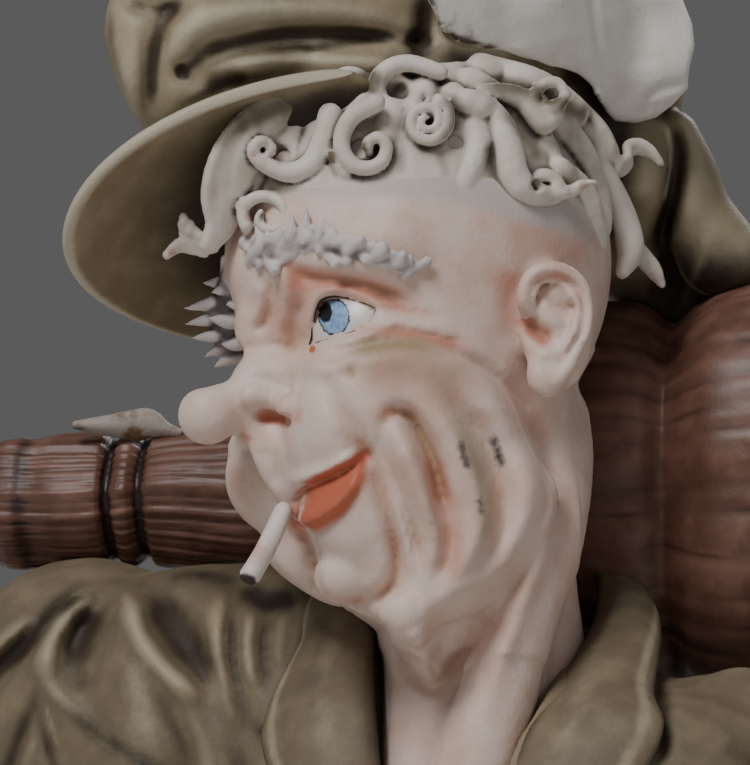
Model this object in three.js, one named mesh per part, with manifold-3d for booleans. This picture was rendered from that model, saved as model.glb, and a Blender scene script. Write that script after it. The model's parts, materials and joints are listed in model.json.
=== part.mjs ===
// Bust of a street sweeper, a comic porcelain figurine: a gaunt old man with a bulbous nose, a
// cigarette in his lips and a floppy cap over curly hair, looking over his right shoulder, with a
// besom carried behind his neck. Millimetres, +Z up. The chest faces -Y, the origin lies in the
// flat underside below the neck.
import * as THREE from "three";
import { mergeVertices } from "three/addons/utils/BufferGeometryUtils.js";
import Module from "manifold-3d";

const wasm = await Module();
wasm.setup();

// Driving dimensions.
const HEAD_HEIGHT = 88; // middle of the skull above the underside
const HEAD_FORWARD = 7.7; // middle of the skull in front of the neck's axis
const HEAD_TURN = -40; // degrees that the head is turned to its right
const HEAD_TILT = 12; // degrees that the head leans to its right
const SKULL = [24.5, 20.5, 26]; // half length, half width and half height of the skull
const CAP_RISE = 9.3; // middle of the cap's band above the middle of the skull
const CAP_ASKEW = 33; // degrees that the cap is pulled down over its right side
const BAND_RADIUS = 23.5;
const CROWN = [40.5, 34, 16.5]; // half length, half width and half height of the crown
const PEAK = [37.5, 22.5]; // half length and half width of the oval that the peak is cut from
const CLOTH = 1.8; // thickness of a thin sheet of clay
const BESOM_MIDDLE = [5, 33, 63.5]; // the besom's axis behind the neck
const BESOM_TURN = 20; // degrees from the line of the shoulders
const BESOM_DIP = 1; // degrees that its hand end hangs down
const BESOM_ENDS = [-86, 46]; // the besom's ends, measured along its axis from its middle
const GAP = 0.3; // clear space between two pieces that touch

const radians = THREE.MathUtils.degToRad;
const vector = (p) => new THREE.Vector3(...p);

// The head's own frame: x forward along the nose, y to its left and z up through the crown.
const headFrame = new THREE.Matrix4()
  .makeTranslation(
    HEAD_FORWARD * Math.sin(radians(HEAD_TURN)),
    -HEAD_FORWARD * Math.cos(radians(HEAD_TURN)),
    HEAD_HEIGHT,
  )
  .multiply(new THREE.Matrix4().makeRotationZ(radians(HEAD_TURN - 90)))
  .multiply(new THREE.Matrix4().makeRotationX(radians(HEAD_TILT)));

// The cap's frame has the same axes, askew on the head, with its origin in the middle of the band.
const capFrame = headFrame
  .clone()
  .multiply(new THREE.Matrix4().makeTranslation(0, 0, CAP_RISE))
  .multiply(new THREE.Matrix4().makeRotationX(radians(CAP_ASKEW)));

// A closed geometry as a solid that can be joined and cut.
function solid(geometry, frame = new THREE.Matrix4()) {
  const bare = geometry.clone().applyMatrix4(frame);
  bare.deleteAttribute("normal");
  bare.deleteAttribute("uv");
  const merged = mergeVertices(bare, 1e-4);
  const mesh = new wasm.Mesh({
    numProp: 3,
    vertProperties: new Float32Array(merged.attributes.position.array),
    triVerts: new Uint32Array(merged.index.array),
  });
  const made = new wasm.Manifold(mesh);
  if (made.volume() >= 0) return made;
  for (let i = 0; i < mesh.triVerts.length; i += 3) {
    const second = mesh.triVerts[i + 1];
    mesh.triVerts[i + 1] = mesh.triVerts[i + 2];
    mesh.triVerts[i + 2] = second;
  }
  return new wasm.Manifold(mesh);
}

// Solids joined to one, with any pocket that is sealed between them filled.
function join(solids) {
  const whole = solids.reduce((sum, piece) => sum.add(piece));
  const shells = whole.decompose().filter((shell) => shell.volume() > 0);
  return shells.reduce((sum, shell) => sum.add(shell));
}

// Moves every vertex of a geometry by a function from point to point.
function reshape(geometry, move) {
  const points = geometry.attributes.position;
  const point = new THREE.Vector3();
  for (let i = 0; i < points.count; i++) {
    const moved = move(point.fromBufferAttribute(points, i).clone());
    points.setXYZ(i, moved.x, moved.y, moved.z);
  }
  return geometry;
}

// Signed distance, near enough, from a point to a lump of clay: an ellipsoid at one point, or a
// roll between two points.
function distanceToLump(point, lump) {
  if (lump.to) {
    const start = vector(lump.at);
    const along = vector(lump.to).sub(start);
    const reach = point.clone().sub(start);
    const share = THREE.MathUtils.clamp(reach.dot(along) / along.lengthSq(), 0, 1);
    return reach.addScaledVector(along, -share).length() - lump.radius;
  }
  const x = point.x - lump.at[0];
  const y = point.y - lump.at[1];
  const z = point.z - lump.at[2];
  const [a, b, c] = lump.size;
  const scaled = Math.hypot(x / a, y / b, z / c);
  const slope = Math.hypot(x / (a * a), y / (b * b), z / (c * c)) || 1e-9;
  return (scaled * (scaled - 1)) / slope;
}

// Distance to lumps pressed together, with the joints between them smoothed over.
function distanceToClay(point, lumps, softness) {
  let nearest = Infinity;
  for (const lump of lumps) {
    const reach = distanceToLump(point, lump);
    const share = lump.hollow ? -reach : reach;
    const overlap = Math.max(softness - Math.abs(nearest - share), 0) / softness;
    if (nearest === Infinity) nearest = share;
    else if (lump.hollow) nearest = Math.max(nearest, share) + (overlap * overlap * softness) / 4;
    else nearest = Math.min(nearest, share) - (overlap * overlap * softness) / 4;
  }
  return nearest;
}

// One closed skin over lumps of clay: a ball whose points are drawn in along their own rays
// from outside until they meet the clay.
function modelled({ middle, lumps, across, down, softness = 4, reach = 110 }) {
  const centre = vector(middle);
  const skin = new THREE.SphereGeometry(1, across, down);
  skin.rotateX(Math.PI / 2);
  return reshape(skin, (direction) => {
    let out = reach;
    const at = (distance) => centre.clone().addScaledVector(direction, distance);
    for (let i = 0; i < 90; i++) {
      const left = distanceToClay(at(out), lumps, softness);
      if (left < 0.01) break;
      out = Math.max(out - Math.max(left * 0.7, 0.02), 0.5);
    }
    return at(out);
  });
}

// A tapering roll of clay along a curve, round at both ends.
function roll(points, radii, sides = 8, steps = 2 * points.length) {
  const curve = new THREE.CatmullRomCurve3(points.map(vector));
  const frames = curve.computeFrenetFrames(steps, false);
  const tube = new THREE.CylinderGeometry(1, 1, 1, sides, steps);
  return reshape(tube, (p) => {
    const along = THREE.MathUtils.clamp(p.y + 0.5, 0, 1);
    const step = Math.round(along * steps);
    const place = along * (radii.length - 1);
    const before = Math.min(Math.floor(place), radii.length - 2);
    const radius = THREE.MathUtils.lerp(radii[before], radii[before + 1], place - before);
    const end = step === 0 || step === steps ? 0.6 : 1;
    return curve
      .getPointAt(along)
      .addScaledVector(frames.normals[step], p.x * radius * end)
      .addScaledVector(frames.binormals[step], p.z * radius * end);
  });
}

// A thin sheet of clay between two curved edges, with a swell in the middle.
function sheet({ inner, outer, thickness, swell = [0, 0, 0], across = 4, along = 12 }) {
  const nearEdge = new THREE.CatmullRomCurve3(inner.map(vector));
  const farEdge = new THREE.CatmullRomCurve3(outer.map(vector));
  const swollen = vector(swell);
  const place = (u, v) =>
    nearEdge
      .getPoint(v)
      .lerp(farEdge.getPoint(v), u)
      .addScaledVector(swollen, Math.sin(Math.PI * u) * Math.sin(Math.PI * v));
  const normal = (u, v) => {
    const d = 0.01;
    const sideways = place(u + d, v).sub(place(u - d, v));
    const lengthways = place(u, v + d).sub(place(u, Math.max(v - d, -0.001)));
    return sideways.cross(lengthways).normalize();
  };
  const slab = new THREE.BoxGeometry(1, 1, 1, across, along, 1);
  return reshape(slab, (p) => {
    const u = p.x + 0.5;
    const v = p.y + 0.5;
    const clampedV = THREE.MathUtils.clamp(v, 0.02, 0.98);
    return place(u, v).addScaledVector(normal(u, clampedV), p.z * thickness);
  });
}

// Skull, face and neck. A lump is { at: its middle, size: its three half sizes }.
function head() {
  const paired = (lump) => [lump, { ...lump, at: [lump.at[0], -lump.at[1], lump.at[2]] }];
  const face = [
    { at: [0, 0, 4], size: SKULL },
    { at: [2, 0, -15], size: [16.5, 16.5, 21] }, // lower face
    { at: [3, 0, -33], size: [14, 12, 12] }, // jaw
    { at: [11, 0, -24], size: [9.5, 9.5, 9] }, // lips
    ...paired({ at: [8.5, 10.5, -21], size: [11.5, 8.5, 14] }), // cheeks in a grin
    { at: [14, 0, -37.5], size: [6.3, 6.5, 6] }, // chin
    { at: [18.5, 0, 2], size: [5.5, 13, 4.5] }, // brow ridge
    ...paired({ at: [22, 9.5, -6.5], size: [6.5, 5.5, 4.5], hollow: true }), // eye sockets
    ...paired({ at: [12.5, 9, -7], size: [4.6, 4.6, 4.6] }), // eyeballs
    { at: [19, 0, -5], to: [28, 0, -15.5], radius: 4.2 }, // bridge of the nose
    { at: [29.2, 0, -17], size: [3.7, 3.7, 3.7] }, // ball of the nose
    ...paired({ at: [21.5, 4, -17], size: [4, 2.8, 3.2] }), // wings of the nose
  ];
  const skull = modelled({
    middle: [3, 0, -12],
    lumps: face,
    across: 38,
    down: 28,
    softness: 3,
    reach: 60,
  });
  const ears = [1, -1].map((side) => {
    const shell = new THREE.SphereGeometry(1, 10, 7);
    shell.scale(5.2, 2.4, 8.6);
    shell.rotateY(radians(8));
    shell.rotateZ(radians(-14 * side));
    shell.translate(-10.5, side * 15.5, -10.5);
    return solid(shell, headFrame);
  });
  return join([solid(skull, headFrame), ...ears]);
}

function neck() {
  const top = new THREE.Vector3(-5, 0, -16).applyMatrix4(headFrame);
  const chain = [top.toArray(), [0, -1.5, 50], [1, -1, 36], [4, -5, 20], [5, -7, 5]];
  return solid(roll(chain, [13, 12, 12.5, 14.5, 15], 16, 8));
}

// Crown of the cap: one soft disc with lobes where the cloth has slipped down.
function crown() {
  const lumps = [
    { at: [-1, 0, 21], size: CROWN },
    { at: [0, 0, 7], size: [BAND_RADIUS + 1, BAND_RADIUS - 1, 6.5] }, // band
    { at: [28, 8, 16], size: [13, 17, 13] }, // lobe over the peak
    { at: [-30, -6, 10], size: [11, 12, 9] }, // lobe down the nape
    { at: [-48, -18, 9], to: [-34, -10, 14], radius: 9.5 }, // lobe behind it
  ];
  const skin = modelled({ middle: [-6, -4, 16], lumps, across: 28, down: 16, softness: 5 });
  return solid(skin, capFrame);
}

// Peak of the cap: a stiff arched crescent between the band and a long oval.
function peak() {
  const slab = new THREE.BoxGeometry(1, 1, 1, 3, 16, 1);
  reshape(slab, (p) => {
    const out = p.x + 0.5;
    const turn = radians(82 - 167 * (p.y + 0.5));
    const front = Math.cos(turn);
    const root = new THREE.Vector3(BAND_RADIUS - 3, 0, 1).applyAxisAngle(
      new THREE.Vector3(0, 0, 1),
      turn * 0.8,
    );
    const rim = new THREE.Vector3(
      8 + PEAK[0] * front,
      -1.5 + PEAK[1] * Math.sin(turn) * (turn > 0 ? 0.92 : 1),
      0.8 + 1.5 * Math.sin(Math.max(turn, 0)) - 3 * front * front,
    );
    const arch = 4 * front * Math.sin(Math.PI * out);
    return root.lerp(rim, out).add(new THREE.Vector3(0, 0, arch + p.z * CLOTH));
  });
  return solid(slab, capFrame);
}

// White cloth thrown over the back of the crown.
function crownCloth() {
  const slab = new THREE.BoxGeometry(1, 1, 1, 9, 7, 1);
  const [length, width, height] = CROWN.map((half) => half + 1.2);
  reshape(slab, (p) => {
    const angle = radians(76 + 84 * (p.x + 0.5));
    const rise = radians(-38 + 90 * (p.y + 0.5));
    const shell = 1 + (p.z * CLOTH) / 30 + 0.012 * Math.sin(7 * angle);
    return new THREE.Vector3(
      -1 + shell * length * Math.cos(rise) * Math.cos(angle),
      shell * width * Math.cos(rise) * Math.sin(angle),
      21 + shell * height * Math.sin(rise),
    );
  });
  return solid(slab, capFrame);
}

// A lock of hair that leaves the head at root and winds into a spiral in its own plane.
function curl({ root, middle, radius, turns, thickness, side = 1 }) {
  const start = vector(root);
  const centre = vector(middle);
  const count = Math.round(7 * turns) + 2;
  const first = Math.atan2(start.z - centre.z, start.x - centre.x);
  const points = [root];
  for (let i = 1; i < count; i++) {
    const angle = first - side * ((i / count) * turns * 2 * Math.PI + 0.5);
    const shrink = radius * (1 - (0.75 * i) / count);
    points.push([
      centre.x + shrink * Math.cos(angle),
      centre.y + (1.5 * i) / count,
      centre.z + shrink * Math.sin(angle),
    ]);
  }
  return solid(roll(points, [thickness * 1.5, thickness, thickness * 0.6], 6, Math.round(count * 1.3)), headFrame);
}

// Hair round the band, with the curls that stand out from it.
function hair() {
  const cover = modelled({
    middle: [0, 0, 14],
    lumps: [{ at: [-0.5, 0, 14], size: [25.5, 21.5, 11] }],
    across: 24,
    down: 12,
    reach: 60,
  });
  const curls = [
    { root: [15, 18, 14], middle: [18, 17.5, 9], radius: 4, turns: 1, thickness: 1.7, side: -1 },
    { root: [12, 20, 14], middle: [8.5, 21, 10], radius: 3.4, turns: 1.1, thickness: 1.5 },
    { root: [6, 21, 17], middle: [3, 21.8, 13], radius: 3.6, turns: 1.3, thickness: 1.5 },
    { root: [8, 20, 21], middle: [6, 21.5, 18], radius: 3.2, turns: 1, thickness: 1.5, side: -1 },
    { root: [-4, 20, 19], middle: [-9, 21, 15], radius: 3.2, turns: 1.1, thickness: 1.6, side: -1 },
    { root: [22, 7, 8], middle: [29, 4, 4], radius: 2.5, turns: 1, thickness: 1.5 },
  ];
  const locks = [
    { points: [[24, 6, 18], [25.5, 6, 10], [26, 6, 5]], radii: [3.2, 3.4, 1.6] },
    { points: [[-2, 20, 15], [-7, 22, 9], [-11, 21.5, 4]], radii: [2.6, 2.6, 1.2] },
    { points: [[-10, 20, 18], [-17, 19, 12], [-22, 18, 7.5]], radii: [2.4, 2.6, 1.2] },
    { points: [[-20, 13, 14], [-23, 14, 5], [-24.5, 12, -2]], radii: [2.2, 3, 1.4] },
    { points: [[-24, 2, 12], [-26.5, 2, 3], [-25.5, 2, -3]], radii: [3, 3.2, 1.4] },
    { points: [[-21, -11, 12], [-23, -12, 4], [-22, -12, -2]], radii: [3, 3, 1.4] },
    { points: [[-8, -20, 12], [-10, -22, 4], [-12, -21, -2]], radii: [3, 3, 1.4] },
    { points: [[10, -19, 8], [11, -21, 1], [9, -21, -4]], radii: [3, 2.6, 1.2] },
  ];
  return join([
    solid(cover, headFrame),
    ...curls.map(curl),
    ...locks.map(({ points, radii }) => solid(roll(points, radii, 6), headFrame)),
  ]);
}

// Bushy eyebrows: tufts that stand out from the brow ridge in a row.
function eyebrows() {
  const tufts = [];
  for (const [side, drop] of [[1, 0], [-1, 3.5]]) {
    for (let i = 0; i < 6; i++) {
      const out = 3 + 3 * i;
      const tuft = new THREE.ConeGeometry(1.9, 5.5, 5);
      tuft.rotateZ(radians(-80));
      tuft.rotateY(radians(i % 2 ? 18 : -10));
      tuft.rotateZ(radians(side * 10 * i));
      const forward = SKULL[0] * Math.sqrt(1 - (out / (SKULL[1] + 1)) ** 2);
      tuft.translate(forward + 1, side * out, 4.4 - 0.023 * out * out - drop);
      tufts.push(solid(tuft, headFrame));
    }
  }
  return join(tufts);
}

// Jacket over the shoulders and chest, cut flat below. The right arm is raised.
function jacket() {
  const lumps = [
    { at: [2, -1, 8], size: [50, 26, 34] }, // chest
    { at: [-30, 4, 30], size: [30, 19, 23] }, // right shoulder
    { at: [-60, 3, 28], size: [22, 18, 25] }, // raised right arm
    { at: [-61, 1, 4], size: [23, 22, 30] }, // right sleeve
    { at: [22, 6, 20], size: [28, 18, 18] }, // left shoulder
    { at: [44, 2, 2], size: [23, 21, 26] }, // left sleeve
    { at: [-6, 13, 20], size: [34, 15, 28] }, // back
    { at: [-50, -10, 48], to: [-44, -22, 24], radius: 4 }, // folds from the raised arm
    { at: [-62, -10, 46], to: [-70, -19, 20], radius: 4.5 },
    { at: [-42, -10, 47], to: [-26, -25, 26], radius: 4 },
    { at: [-34, -6, 48], to: [-24, -21, 36], radius: 3.5 },
    { at: [-66, -20, 34], to: [-44, -27, 8], radius: 4 },
  ];
  const body = modelled({ middle: [-4, 0, 6], lumps, across: 38, down: 20, softness: 6 });
  const opening = roll([[6, -28, 1], [4, -19, 28], [0, -4, 58]], [1, 9.5, 15], 14, 6);
  return solid(body).subtract(solid(opening));
}

// Collar and lapels: one strip of cloth that turns over round the neck and lies on the chest.
function collar() {
  const inner = [[4, -27, 3], [-4, -18, 29], [-7, -14, 37], [-10, -9, 43], [-14, 0, 50],
    [-6, 14, 56], [4, 16, 56], [12.5, 9, 47], [15, -7, 37], [15, -18, 29], [8, -27, 3]];
  const outer = [[-4, -29, 3], [-21, -20, 28], [-25, -16, 34], [-23, -9, 42], [-22, -3, 49],
    [-11, 19, 50], [4, 24, 50], [18, 12, 46], [27, -6, 37], [31, -15, 29], [14, -28, 3]];
  const strip = sheet({ inner, outer, thickness: 3, across: 2, along: 24 });
  return solid(strip);
}

// The whole fired figure: one piece, cut flat below, with clear space round what is stuck to it.
function figure() {
  const whole = join([
    jacket(), collar(), neck(), head(), eyebrows(), hair(), crown(), peak(), crownCloth(),
  ]);
  const below = new THREE.BoxGeometry(400, 400, 200).translate(0, 0, -100);
  return join([
    whole.subtract(solid(below)).subtract(solid(besomShape(GAP))).subtract(solid(cigarette(GAP))),
  ]);
}

// The besom: a bundle of brushwood, narrow where it is bound at the hand and wide at the brush,
// with a ring at the hand and a waist at the binding. Its long ribs are the brushwood.
function besomShape(grown) {
  const [handEnd, brushEnd] = BESOM_ENDS;
  const profile = [
    [handEnd, 8.2], [handEnd + 1, 9.2], [-73, 8.9], [-71.5, 9.4], [-68, 9.4], [-66.5, 8.4],
    [-64, 9], [-50, 10.4], [-32, 12], [-16, 16], [-7, 22.6], [-2, 24.6], [3, 23.4], [5.5, 21],
    [8.5, 24], [15, 27], [30, 28.5], [brushEnd - 3, 29], [brushEnd, 27],
  ];
  const grow = (radius) => radius + grown;
  const outline = [
    new THREE.Vector2(0, handEnd - grown),
    ...profile.map(([along, radius]) => new THREE.Vector2(grow(radius), along)),
    new THREE.Vector2(0, brushEnd + grown),
  ];
  const bundle = new THREE.LatheGeometry(outline, 24);
  reshape(bundle, (p) => {
    const angle = Math.atan2(p.z, p.x);
    const rib = 1 + 0.035 * Math.sin(8 * angle + 0.04 * p.y) - 0.035;
    return new THREE.Vector3(p.x * rib, p.y, p.z * rib);
  });
  bundle.rotateZ(-Math.PI / 2);
  bundle.rotateY(radians(-BESOM_DIP));
  bundle.rotateZ(radians(BESOM_TURN));
  bundle.translate(...BESOM_MIDDLE);
  return bundle;
}

// A dry leaf caught on the besom, near the hand end.
function leaf() {
  const blade = roll([[-64, 6, 72], [-60.5, 8, 73.5], [-56, 9.6, 73.6], [-51.2, 11, 71.4]],
    [0.4, 1.3, 1.7, 0.9], 8, 8);
  return solid(blade).subtract(solid(besomShape(GAP)));
}

// The cigarette: a short thick roll that hangs from the left half of the lips.
function cigarette(grown) {
  const stick = new THREE.CylinderGeometry(1.3 + grown, 1.25 + grown, 11 + 2 * grown, 12);
  stick.rotateX(Math.PI / 2);
  stick.rotateY(radians(-31));
  stick.translate(23.2, 2, -33.6);
  return stick.applyMatrix4(headFrame);
}

function piece(name, geometry, colour, roughness) {
  const finish = new THREE.MeshStandardMaterial({ color: colour, roughness, metalness: 0 });
  const mesh = new THREE.Mesh(geometry, finish);
  mesh.name = name;
  return mesh;
}

// A solid back as a geometry.
function geometryOf(made) {
  const mesh = made.getMesh();
  const geometry = new THREE.BufferGeometry();
  geometry.setAttribute("position", new THREE.BufferAttribute(mesh.vertProperties, 3));
  geometry.setIndex(new THREE.BufferAttribute(mesh.triVerts, 1));
  geometry.computeVertexNormals();
  return geometry;
}

const bust = new THREE.Group();
bust.add(
  piece("sweeper_figure", geometryOf(figure()), "#d9c9b4", 0.75),
  piece("besom", besomShape(0), "#4a2a20", 0.25),
  piece("cigarette", cigarette(0), "#e6ddd2", 0.7),
  piece("leaf", geometryOf(leaf()), "#cdb9a4", 0.6),
);

export default bust;
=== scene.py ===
# Bust of a street sweeper, a comic porcelain figurine: an old man with a bulbous nose and a
# cigarette, a floppy cap over curly hair, and a besom behind his neck. It is seen from the
# front left, a little from below, with his head turned away from the shoulders.
import json
from math import cos, pi, radians, sin, tau

import bpy
import numpy as np
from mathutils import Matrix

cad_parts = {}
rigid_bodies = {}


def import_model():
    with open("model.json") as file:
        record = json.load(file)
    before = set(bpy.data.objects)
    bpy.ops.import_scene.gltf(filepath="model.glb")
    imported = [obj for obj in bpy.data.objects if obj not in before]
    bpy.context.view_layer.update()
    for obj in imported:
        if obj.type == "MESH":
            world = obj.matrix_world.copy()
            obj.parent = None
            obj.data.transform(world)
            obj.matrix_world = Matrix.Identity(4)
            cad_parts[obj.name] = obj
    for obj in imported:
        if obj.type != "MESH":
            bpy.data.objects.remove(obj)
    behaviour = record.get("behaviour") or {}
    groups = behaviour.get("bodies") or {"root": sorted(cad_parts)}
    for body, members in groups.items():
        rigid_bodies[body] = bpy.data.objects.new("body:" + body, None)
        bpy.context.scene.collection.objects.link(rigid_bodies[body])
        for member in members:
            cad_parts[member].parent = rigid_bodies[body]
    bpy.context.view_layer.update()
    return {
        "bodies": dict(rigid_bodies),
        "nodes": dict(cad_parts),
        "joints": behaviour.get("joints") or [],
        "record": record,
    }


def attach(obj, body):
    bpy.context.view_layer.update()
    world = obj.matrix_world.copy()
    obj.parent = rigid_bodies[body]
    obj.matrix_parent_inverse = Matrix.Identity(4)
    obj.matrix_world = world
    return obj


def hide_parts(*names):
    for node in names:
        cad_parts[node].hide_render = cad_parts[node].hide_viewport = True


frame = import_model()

import openvdb
from mathutils import Vector


# The camera: a long lens, a little below the face. The drawing plane stands in front of it through
# the object, its X to the right and its Y up, in millimetres from the middle of the picture, so
# that a line of the carving is given where it is seen.
MM = 0.001
VIEW_TURN, VIEW_RISE, VIEW_DISTANCE = radians(30), radians(-3), 600.0
PICTURE_HEIGHT, SENSOR_HEIGHT = 95.6, 36.0
look = np.array([-sin(VIEW_TURN) * cos(VIEW_RISE), cos(VIEW_TURN) * cos(VIEW_RISE), -sin(VIEW_RISE)])
right = np.array([cos(VIEW_TURN), sin(VIEW_TURN), 0.0])
up = np.cross(right, look)
picture_middle = -13.0 * right + np.array([0.0, 0.0, 76.0])
eye = picture_middle - look * VIEW_DISTANCE

camera = bpy.data.objects.new("camera", bpy.data.cameras.new("camera"))
bpy.context.collection.objects.link(camera)
camera.location = Vector(eye) * MM
camera.rotation_euler = Vector(look).to_track_quat("-Z", "Y").to_euler()
camera.data.sensor_fit = "VERTICAL"
camera.data.sensor_height = SENSOR_HEIGHT
camera.data.lens = SENSOR_HEIGHT * VIEW_DISTANCE / PICTURE_HEIGHT
camera.data.clip_start = 0.05
bpy.context.scene.camera = camera


def drawn(points):
    """Where points of the shared frame, in millimetres, are seen on the drawing plane."""
    away = points - eye
    scale = VIEW_DISTANCE / (away @ look)
    return (away @ right) * scale, (away @ up) * scale


# Head and neck: bisque porcelain, slip-cast from a modelled original and finished by hand before
# firing. The original was built up in clay: lumps pressed together, lines drawn in with a tool,
# strips laid on. It is made the same way here, as distances to the clay on a grid of cubes.
TURN, TILT = radians(-40), radians(12)
head_forward = np.array([sin(TURN), -cos(TURN), 0.0])
level_left = np.array([cos(TURN), sin(TURN), 0.0])
head_left = level_left * cos(TILT) + np.array([0.0, 0.0, sin(TILT)])
head_up = np.cross(head_forward, head_left)
head_frame = np.eye(4)
head_frame[:3, 0], head_frame[:3, 1], head_frame[:3, 2] = head_forward, head_left, head_up
head_frame[:3, 3] = head_forward * 7.7 + np.array([0.0, 0.0, 88.0])


def smooth_rows(rows, steps):
    """Rows of numbers with a smooth curve run through them."""
    rows = np.array(rows, float)
    ends = np.vstack([2 * rows[0] - rows[1], rows, 2 * rows[-1] - rows[-2]])
    made = []
    for a, b, c, d in zip(ends, ends[1:], ends[2:], ends[3:]):
        for t in np.arange(steps) / steps:
            made.append(
                0.5 * (2 * b + (c - a) * t + (2 * a - 5 * b + 4 * c - d) * t**2
                       + (3 * b - a - 3 * c + d) * t**3)
            )
    return np.array(made + [rows[-1]])


def blurred(field, reach):
    """A field averaged over a cube of reach cells each way."""
    for axis in range(3):
        wide = [(0, 0)] * 3
        wide[axis] = (reach + 1, reach)
        sums = np.cumsum(np.pad(field, wide, mode="edge"), axis=axis, dtype=np.float64)
        count = field.shape[axis]
        low = np.take(sums, range(count), axis=axis)
        high = np.take(sums, range(2 * reach + 1, count + 2 * reach + 1), axis=axis)
        field = ((high - low) / (2 * reach + 1)).astype(np.float32)
    return field


def meet(here, there, soft):
    """The greater of two distances, with a soft edge where they meet."""
    return np.maximum(here, there) + np.maximum(soft - np.abs(here - there), 0) ** 2 / (4 * soft)


def to_line(x, y, start, end):
    """The share of a straight line at which it is nearest to each place, and how far off it is."""
    (ax, ay), (bx, by) = start, end
    share = ((x - ax) * (bx - ax) + (y - ay) * (by - ay)) / max((bx - ax) ** 2 + (by - ay) ** 2, 1e-9)
    share = np.clip(share, 0, 1)
    return share, np.hypot(x - ax - share * (bx - ax), y - ay - share * (by - ay))


def modelled(name, points, faces):
    """A smooth mesh object through points of the shared frame, given in millimetres."""
    mesh = bpy.data.meshes.new(name)
    mesh.from_pydata((np.asarray(points) * MM).tolist(), [], faces)
    mesh.shade_smooth()
    piece = bpy.data.objects.new(name, mesh)
    bpy.context.collection.objects.link(piece)
    return piece


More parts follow.
